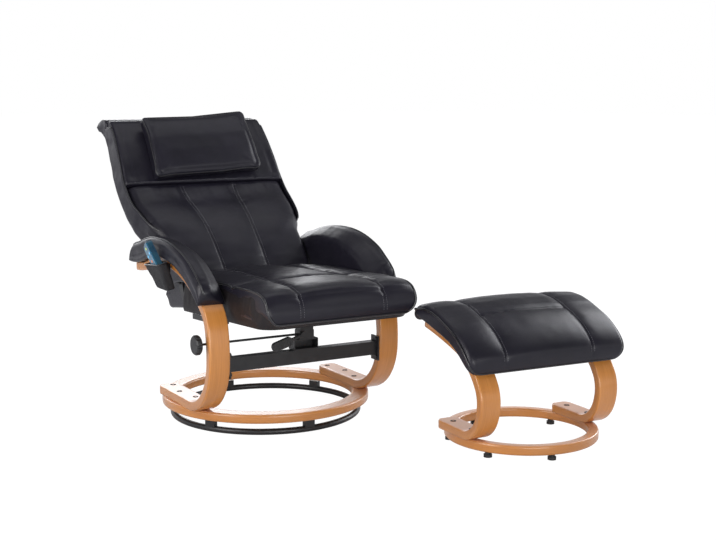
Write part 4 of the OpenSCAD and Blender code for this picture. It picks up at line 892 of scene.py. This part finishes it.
bent_strip("leg_left", LEG, 250, 27, "swivel_base", same)
bent_strip("leg_right", LEG, 250, 27, "swivel_base", mirrored)
bent_strip("ottoman_leg_left", OTTO_LEG, 167, 25, "ottoman", on_ottoman)
bent_strip("ottoman_leg_right", OTTO_LEG, 167, 25, "ottoman", lambda p: on_ottoman(mirrored(p)))


def wooden_ring(node, r_in, r_out, z0, z1, body, place, r):
    """A ring whose grain follows it and whose edges show the layers."""
    across, up = even(rounded(r_in, r_out, z0, z1, r, 6), 4.0, True).T
    a = (TAU * np.arange(241) / 240)[:, None]
    rings = np.stack([across * np.cos(a), across * np.sin(a), up + 0 * a], -1)
    uv = np.stack([a * r_out + 0 * up, across + 3 * up + 0 * a], -1) * MM
    edge = 0.7 * (np.minimum(r_out - across, across - r_in) < 1.4)
    tone = np.stack([edge + 0 * a, (up - z0) / (z1 - z0) + 0 * a, 0 * up + 0 * a], -1)
    loft(node + "_wood", place(rings), WOOD, body, "wood", node, None, uv=uv, tone=tone)


wooden_ring("base_ring", 273, 325, 41, 68, "swivel_base", same, 5.0)
wooden_ring("ottoman_ring", 193, 223, 16, 43, "ottoman", on_ottoman, 4.0)


def bolt_heads(name, places, body, node, place):
    """Sunk bolt heads with a socket, just proud of the wood, coloured darker than the black paint as painted
    shade of their recess.
    """
    profile = np.array([[8.4, -2.0], [8.6, 0.3], [8.1, 0.8], [5.4, 0.9], [4.6, 0.5], [4.4, -2.2], [0.01, -2.4]])
    m, n = len(profile), 28
    a, r, z = TAU * np.arange(n) / n, profile[:, :1], profile[:, 1:]
    head = np.stack([r * np.cos(a), r * np.sin(a), z + 0 * a], -1)
    verts = np.concatenate([head + c for c in places]).reshape(-1, 3)
    faces = [face for k in range(len(places)) for face in grid_faces(m, n, start=k * m * n)]
    mesh_object(name, place(verts), faces, SHADED_RECESS_STEEL, body, "black_steel", node)


bolt_heads("foot_bolt_heads", [(side * (282.5 - off), y, 95.0) for side in (-1, 1)
                               for y, off in ((97, 8), (5, -8), (-83, 8))], "swivel_base", "foot_bolts", same)
bolt_heads("ottoman_bolt_heads", [(side * 199.5, y, z) for side in (-1, 1) for y, z in ((-50, 69.2), (50, 68))],
           "ottoman", "ottoman_bolts", on_ottoman)


# Arm pads: over the leg strip's upper run, past its end
PAD_H = [
    0, 0.34, 0.008, 0.6, 0.022, 0.78, 0.06, 0.9, 0.15, 0.95, 0.22, 1, 0.5, 1, 0.6, 1.04, 0.7, 1.1, 0.8, 1.13,
    0.88, 1.12, 0.93, 1.04, 0.965, 0.88, 0.99, 0.58, 1, 0.3]
PAD_DROP = [0, 0.03, 0.05, 0.15, 0.12, 0.42, 0.25, 0.85, 0.35, 1, 0.8, 1, 0.9, 0.7, 0.97, 0.35, 1, 0.1]
PAD_START = 240 + 237 + 105 + 65 + 4
PAD_RUN = 1205 + 26 - PAD_START
PAD_X, PAD_WIDE, PAD_HIGH, PAD_SIDE = 243.0, 90, 58, 84


def pad_outline(q):
    """The pad's outline at a share q of its run: across and height over the strip's middle."""
    h = smooth(PAD_H, q)
    t, drop = PAD_HIGH * h, PAD_SIDE * smooth(PAD_DROP, q)
    inset = PAD_HIGH * 0.3 * (1 - min(h, 1))
    x0, x1 = PAD_X, PAD_X + PAD_WIDE
    seat, top, side = 13.5 + 0.6, 13.5 + t, 249.7
    r = min(t * 0.5, 22)
    return np.array([
        [side, seat], [side, seat - drop], [x0 + 2.5, seat - drop], [x0 + inset * 0.1, seat - drop * 0.85],
        [x0 + inset * 0.2 + 1, seat + t * 0.12], [x0 + inset * 0.5 + r * 0.3, top - r * 1.45],
        [x0 + r * 0.95 + inset, top - r * 0.85], [x0 + r * 1.7 + inset, top - r * 0.38],
        [(x0 + x1) / 2 + r * 0.3, top - r * 0.04], [x1 - r * 0.8 - inset, top],
        [x1 - r * 0.3 - inset, top - r * 0.22], [x1 - inset * 0.4, top - r * 0.8],
        [x1 - t * 0.05 - inset * 0.2, seat + t * 0.35], [x1 - inset * 0.3, seat + t * 0.08],
        [x1 - t * 0.1 - inset * 0.3, seat]])


def pad_ring(q):
    """The outline with sharp corners under the pad and soft ones above."""
    p = pad_outline(q)
    soft = even(curved(p[2:15], 12, closed=False), 2.2)
    return even(np.vstack([even(p[[14, 0]], 4), even(p[:3], 3)[1:], soft[1:-1]]), closed=True, count=150)


def arm_pad(word, place):
    rings = []
    for q in np.r_[0, 0.004, 0.01, 0.018, 0.028, 0.04, 0.055:0.93:120j,
                   0.94, 0.95, 0.96, 0.968, 0.976, 0.983, 0.989, 0.994, 0.998, 1]:
        s = PAD_START + PAD_RUN * q
        x, d = pad_ring(q).T
        up = ramp(d, 20, 50)
        body = ramp(q, 0.03, 0.12) * ramp(-q, -0.99, -0.93)
        d += up * body * (1.2 * noise(s / 60, x / 40, 61) + 0.5 * noise(s / 20, x / 24, 62))
        sides = np.where(x > PAD_X + PAD_WIDE / 2, 1, -1) * ramp(d, 8, 20) * ramp(-d, -58, -40) * body
        x = x + 0.9 * sides * noise(s / 24, d / 30, 63)
        d += 1.4 * ramp(-q, -0.16, -0.03) * up * noise(s / 9, x / 30, 64)
        rings.append(LEG.put(s, x, d))
    cushion("arm_pad_%s_leather" % word, place(np.array(rings)), "swivel_base", "arm_pad_" + word)
    qs = np.linspace(0.012, 0.985, 130)
    x, d = np.array([[0.35, 0.65] @ pad_outline(q)[9:11] for q in qs]).T
    piping("arm_piping_outer_" + word, place(LEG.put(PAD_START + PAD_RUN * qs, x + 0.4, d + 1.6)), 2.3,
           "swivel_base")


arm_pad("left", same)
arm_pad("right", mirrored)


# Ottoman cushion

OTTO_RUN = 292.0
OTTO_S0 = 666 - OTTO_RUN
OTTO_LOW = 12.5 + 4 * 0.3 + 9 + 1
OTTO_HALF, OTTO_HIGH, OTTO_SEAM = 264.5, 49, 147
OTTO_END = 1.1
OTTO_WIDE = [
    -0.025, 0.9, -0.01, 0.945, 0.02, 0.975, 0.055, 0.99, 0.1, 0.997, 0.16, 1, 0.88, 1, 0.935, 1, 0.97, 1,
    0.998, 0.999, 1.02, 0.997, 1.045, 0.988, 1.07, 0.968, 1.09, 0.935, 1.1, 0.9]
OTTO_BOTTOM = [
    -0.025, 0.02, -0.01, 0, 0.998, 0, 1.008, -0.18, 1.02, -0.31, 1.035, -0.37, 1.045, -0.375, 1.06, -0.36,
    1.075, -0.3, 1.085, -0.235, 1.092, -0.17, 1.097, -0.1, 1.1, 0]
OTTO_TOP = [
    -0.025, 0.2, -0.01, 0.36, 0.02, 0.56, 0.055, 0.7, 0.1, 0.8, 0.16, 0.86, 0.24, 0.91, 0.32, 0.95, 0.42, 1,
    0.51, 1.03, 0.6, 1.07, 0.7, 1.07, 0.8, 1, 0.88, 0.91, 0.935, 0.79, 0.97, 0.72, 0.998, 0.66, 1.02, 0.61,
    1.045, 0.555, 1.06, 0.5, 1.075, 0.42, 1.085, 0.34, 1.092, 0.265, 1.097, 0.185, 1.1, 0.08]


def otto_share(s):
    return (s - OTTO_S0) / OTTO_RUN


def otto_wide(s):
    return OTTO_HALF * smooth(OTTO_WIDE, otto_share(s))


def otto_bottom(s):
    return OTTO_LOW + OTTO_HIGH * smooth(OTTO_BOTTOM, otto_share(s)) + 0.3


def rear_roll(s):
    """Share of the full rounding that the rear end has."""
    return ramp(otto_share(s), 0.985, 1.03)


def otto_top(s, x):
    q, w, ax = otto_share(s), otto_wide(s), np.abs(x)
    face = ramp(q, -0.02, 0.06) * ramp(-q, -1.06, -0.96)
    inside = ramp(-ax, -150, -143)
    near, cross = np.abs(ax - OTTO_SEAM), np.abs(q - 0.5) * OTTO_RUN
    d = OTTO_LOW + OTTO_HIGH * smooth(OTTO_TOP, q) + 10 * face * dome(ax / w) ** 0.8
    d -= face * (3.6 * bump(near, 4) + 2.4 * bump(near, 16))
    d -= inside * (3.2 * bump(cross, 3.5) + 2.0 * bump(cross, 14))
    outer = arch((ax - OTTO_SEAM) / np.maximum(w - OTTO_SEAM, 1))
    d += face * 3.0 * np.where(ax < OTTO_SEAM, dome(ax / OTTO_SEAM), outer)
    d += face * (1.1 * noise(s / 70, x / 70, 71) + 0.35 * noise(s / 26, x / 30, 72))
    d += face * noise(s / 11, x / 40, 73) * bump(near, 18) * 0.7 * (1 - bump(near, 3))
    return d + inside * face * noise(x / 13, s / 40, 74) * bump(cross, 16) * 0.5


q_all = np.r_[-0.025, -0.022, -0.018, -0.012, -0.005, 0.004, 0.014, 0.025:0.93:92j, 0.937:1.07:24j,
              1.075, 1.08, 1.085, 1.089, 1.0925, 1.0955, 1.098, OTTO_END]
rings = pad_on(OTTO_LEG.put, OTTO_S0 + OTTO_RUN * q_all, Section(top=64), otto_wide, otto_bottom, otto_top,
               lambda s: 13 + 9 * rear_roll(s), lambda s: 14 + 10 * rear_roll(s),
               lambda s: 6 + 18 * rear_roll(s))
cushion("ottoman_leather", on_ottoman(rings), "ottoman", "ottoman_cushion")


def otto_border():
    """The piping's line round the cushion's lower edge."""
    left = []
    for q in np.linspace(1.062, 0.0, 72):
        s = OTTO_S0 + OTTO_RUN * q
        w = otto_wide(s) + 1.3
        left.append([s, w, max(otto_top(s, w) - 11, otto_bottom(s) + 2.5) + 1.5])
    ends = []
    for q, past, narrower, lift in ((-0.021, -1.5, 4, 4.5), (OTTO_END, 1.0, 1, -3.5)):
        s = OTTO_S0 + OTTO_RUN * q
        w = otto_wide(s) - narrower
        ends.append([[s + past, x, OTTO_LOW + lift] for x in np.linspace(w, -w, 60)])
    right = [[s, -w, d] for s, w, d in reversed(left)]
    line = softened(np.array(left + ends[0] + right + ends[1][::-1]), 3)
    return OTTO_LEG.put(*line.T)


piping("ottoman_piping", on_ottoman(otto_border()), 3.0, "ottoman", closed=True)
lines = []
for side, off in SEAM_ROWS:
    s = OTTO_S0 + OTTO_RUN * np.linspace(0.01, 1.0, 90)
    x = side * (OTTO_SEAM + off)
    lines.append((on_ottoman(OTTO_LEG.put(s, x, otto_top(s, x))), spun(OTTO_LEG.up(s), OTTO_TURN, 0, 1)))
stitches("ottoman_stitching", lines, "ottoman")


# Pouch for the remote

POUCH_AT, POUCH_OUT = np.array([-339.0, 21.0, 458.0]), radians(-12)
POUCH_LEN = 138


def on_pouch(p):
    return spun(p, POUCH_OUT, 2, 0) + POUCH_AT


def pouch_ring(z, inset):
    """The pouch's outline at a height; its mouth is lower at the rear."""
    share, half = z / 80 + 0.5, 15 - inset
    front = POUCH_LEN * (-0.5 + 0.16 * share) + inset
    rear = POUCH_LEN * (0.094 + 0.492 * share) - inset
    p = even(rounded(-half, half, front, rear, 7.0, 7), 3.0, True)
    x, y = p[np.linspace(0, len(p), 90, endpoint=False).astype(int)].T
    return np.stack([x, y, z - (y - front) / (rear - front) * 14 * ramp(z, -10, 40)], -1)


rows = []
for z in np.r_[-40, -39.4, -38, -35, -31:38:24j, 40]:
    ring = pouch_ring(z, edge_drop(z + 40, 4))
    wrinkle = 0.9 * noise(z / 14, ring[:, 1] / 26, 81) + 0.5 * noise(z / 6, ring[:, 1] / 10, 82)
    ring[:, 0] += np.sign(ring[:, 0]) * wrinkle * ramp(np.abs(ring[:, 0]), 6, 12)
    rows.append(ring)
inner = [(41, 1.2), (40, 2.4), (30, 2.6), (0, 2.6), (-34, 2.6), (-37.2, 4)]
rows += [pouch_ring(z, inset) for z, inset in inner]
loft("remote_pouch_cloth", on_pouch(rows), CLOTH, "swivel_base", "pouch_cloth", "remote_pouch")
piping("pouch_hem", on_pouch(pouch_ring(39.5, -0.8)), 1.7, "swivel_base", closed=True, slot="pouch_cloth")


# Floor, light and camera

def emptied(block):
    """The node tree of a material or world, without nodes."""
    block.use_nodes = True
    block.node_tree.nodes.clear()
    return block.node_tree


def mix_shaders(nt, factor, a, b):
    n = add(nt, "MixShader")
    for socket, v in zip(n.inputs, (factor, a, b)):
        nt.links.new(v, socket)
    return n.outputs[0]


floor_white = bpy.data.materials.new("floor_white")
nt = emptied(floor_white)
seen = math_node(nt, "MULTIPLY", add(nt, "LightPath").outputs["Is Camera Ray"], 0.86)
matt = add(nt, "BsdfDiffuse", Color=(0.86, 0.86, 0.87, 1)).outputs[0]
glow = add(nt, "Emission", Color=(1, 1, 1, 1), Strength=1.13).outputs[0]
add(nt, "OutputMaterial", Surface=mix_shaders(nt, seen, matt, glow))
bpy.ops.mesh.primitive_plane_add(size=60, location=(0, 10, 0))
floor = bpy.context.object
floor.name = "floor"
floor.data.materials.append(floor_white)

# The camera sees white, gloss mirrors a horizon brighter than the sky above it, and the rest is a dim sky
world = bpy.data.worlds.new("studio")
bpy.context.scene.world = world
nt = emptied(world)
rays = add(nt, "LightPath").outputs
height = add(nt, "SeparateXYZ", Vector=add(nt, "TexCoord").outputs["Generated"]).outputs["Z"]
horizon = spread(nt, height, 0.1, 0.42, 1.15, 0.2)
soft = add(nt, "Background", Color=(0.93, 0.94, 1.0, 1), Strength=0.34).outputs[0]
backdrop = add(nt, "Background", Color=(0.97, 0.97, 1.0, 1), Strength=horizon).outputs[0]
white = add(nt, "Background", Color=(1, 1, 1, 1), Strength=1.0).outputs[0]
lit = mix_shaders(nt, rays["Is Glossy Ray"], soft, backdrop)
add(nt, "OutputWorld", Surface=mix_shaders(nt, rays["Is Camera Ray"], lit, white))

for name, at, target, size, power, color in (
        ("overhead", (0.2, 0.5, 2.6), (0.1, -0.1, 0.4), (2.2, 0.9), 7, (0.97, 0.97, 1.0)),
        ("left_front", (-3.0, -0.9, 1.6), (0, 0, 0.5), (1.5, 2.4), 74, (1.0, 0.98, 0.97)),
        ("right_side", (2.9, -0.2, 1.6), (0.1, 0, 0.5), (1.5, 2.4), 58, (0.95, 0.96, 1.0)),
        ("front_fill", (-0.6, -4.4, 0.9), (0.1, -0.2, 0.35), (2.4, 1.2), 60, (1, 1, 1)),
        ("back_low", (0.6, 3.4, 1.5), (0.1, -0.2, 0.4), (2.6, 0.9), 34, (0.97, 0.98, 1.0))):
    data = bpy.data.lights.new(name, "AREA")
    data.shape = "RECTANGLE"
    data.size, data.size_y = size
    data.energy = power
    data.color = color
    light = placed(name, data)
    light.location = at
    d = np.array(target) - np.array(at)
    light.rotation_euler = (acos(-d[2] / np.linalg.norm(d)), 0, atan2(d[0], -d[1]) + pi)
    light.visible_camera = name != "back_low"

SENSOR = 36.0
camera = bpy.data.cameras.new("photo_camera")
camera.sensor_fit = "HORIZONTAL"
camera.sensor_width = SENSOR
camera.lens = SENSOR * 1260.8 / 716
camera_obj = placed("photo_camera", camera)
camera_obj.location = (-1.7008, -3.5310, 1.0199)
camera_obj.rotation_euler = (radians(90 - 8.3), 0, radians(-30))
bpy.context.scene.camera = camera_obj
bpy.context.scene.view_settings.view_transform = "Standard"
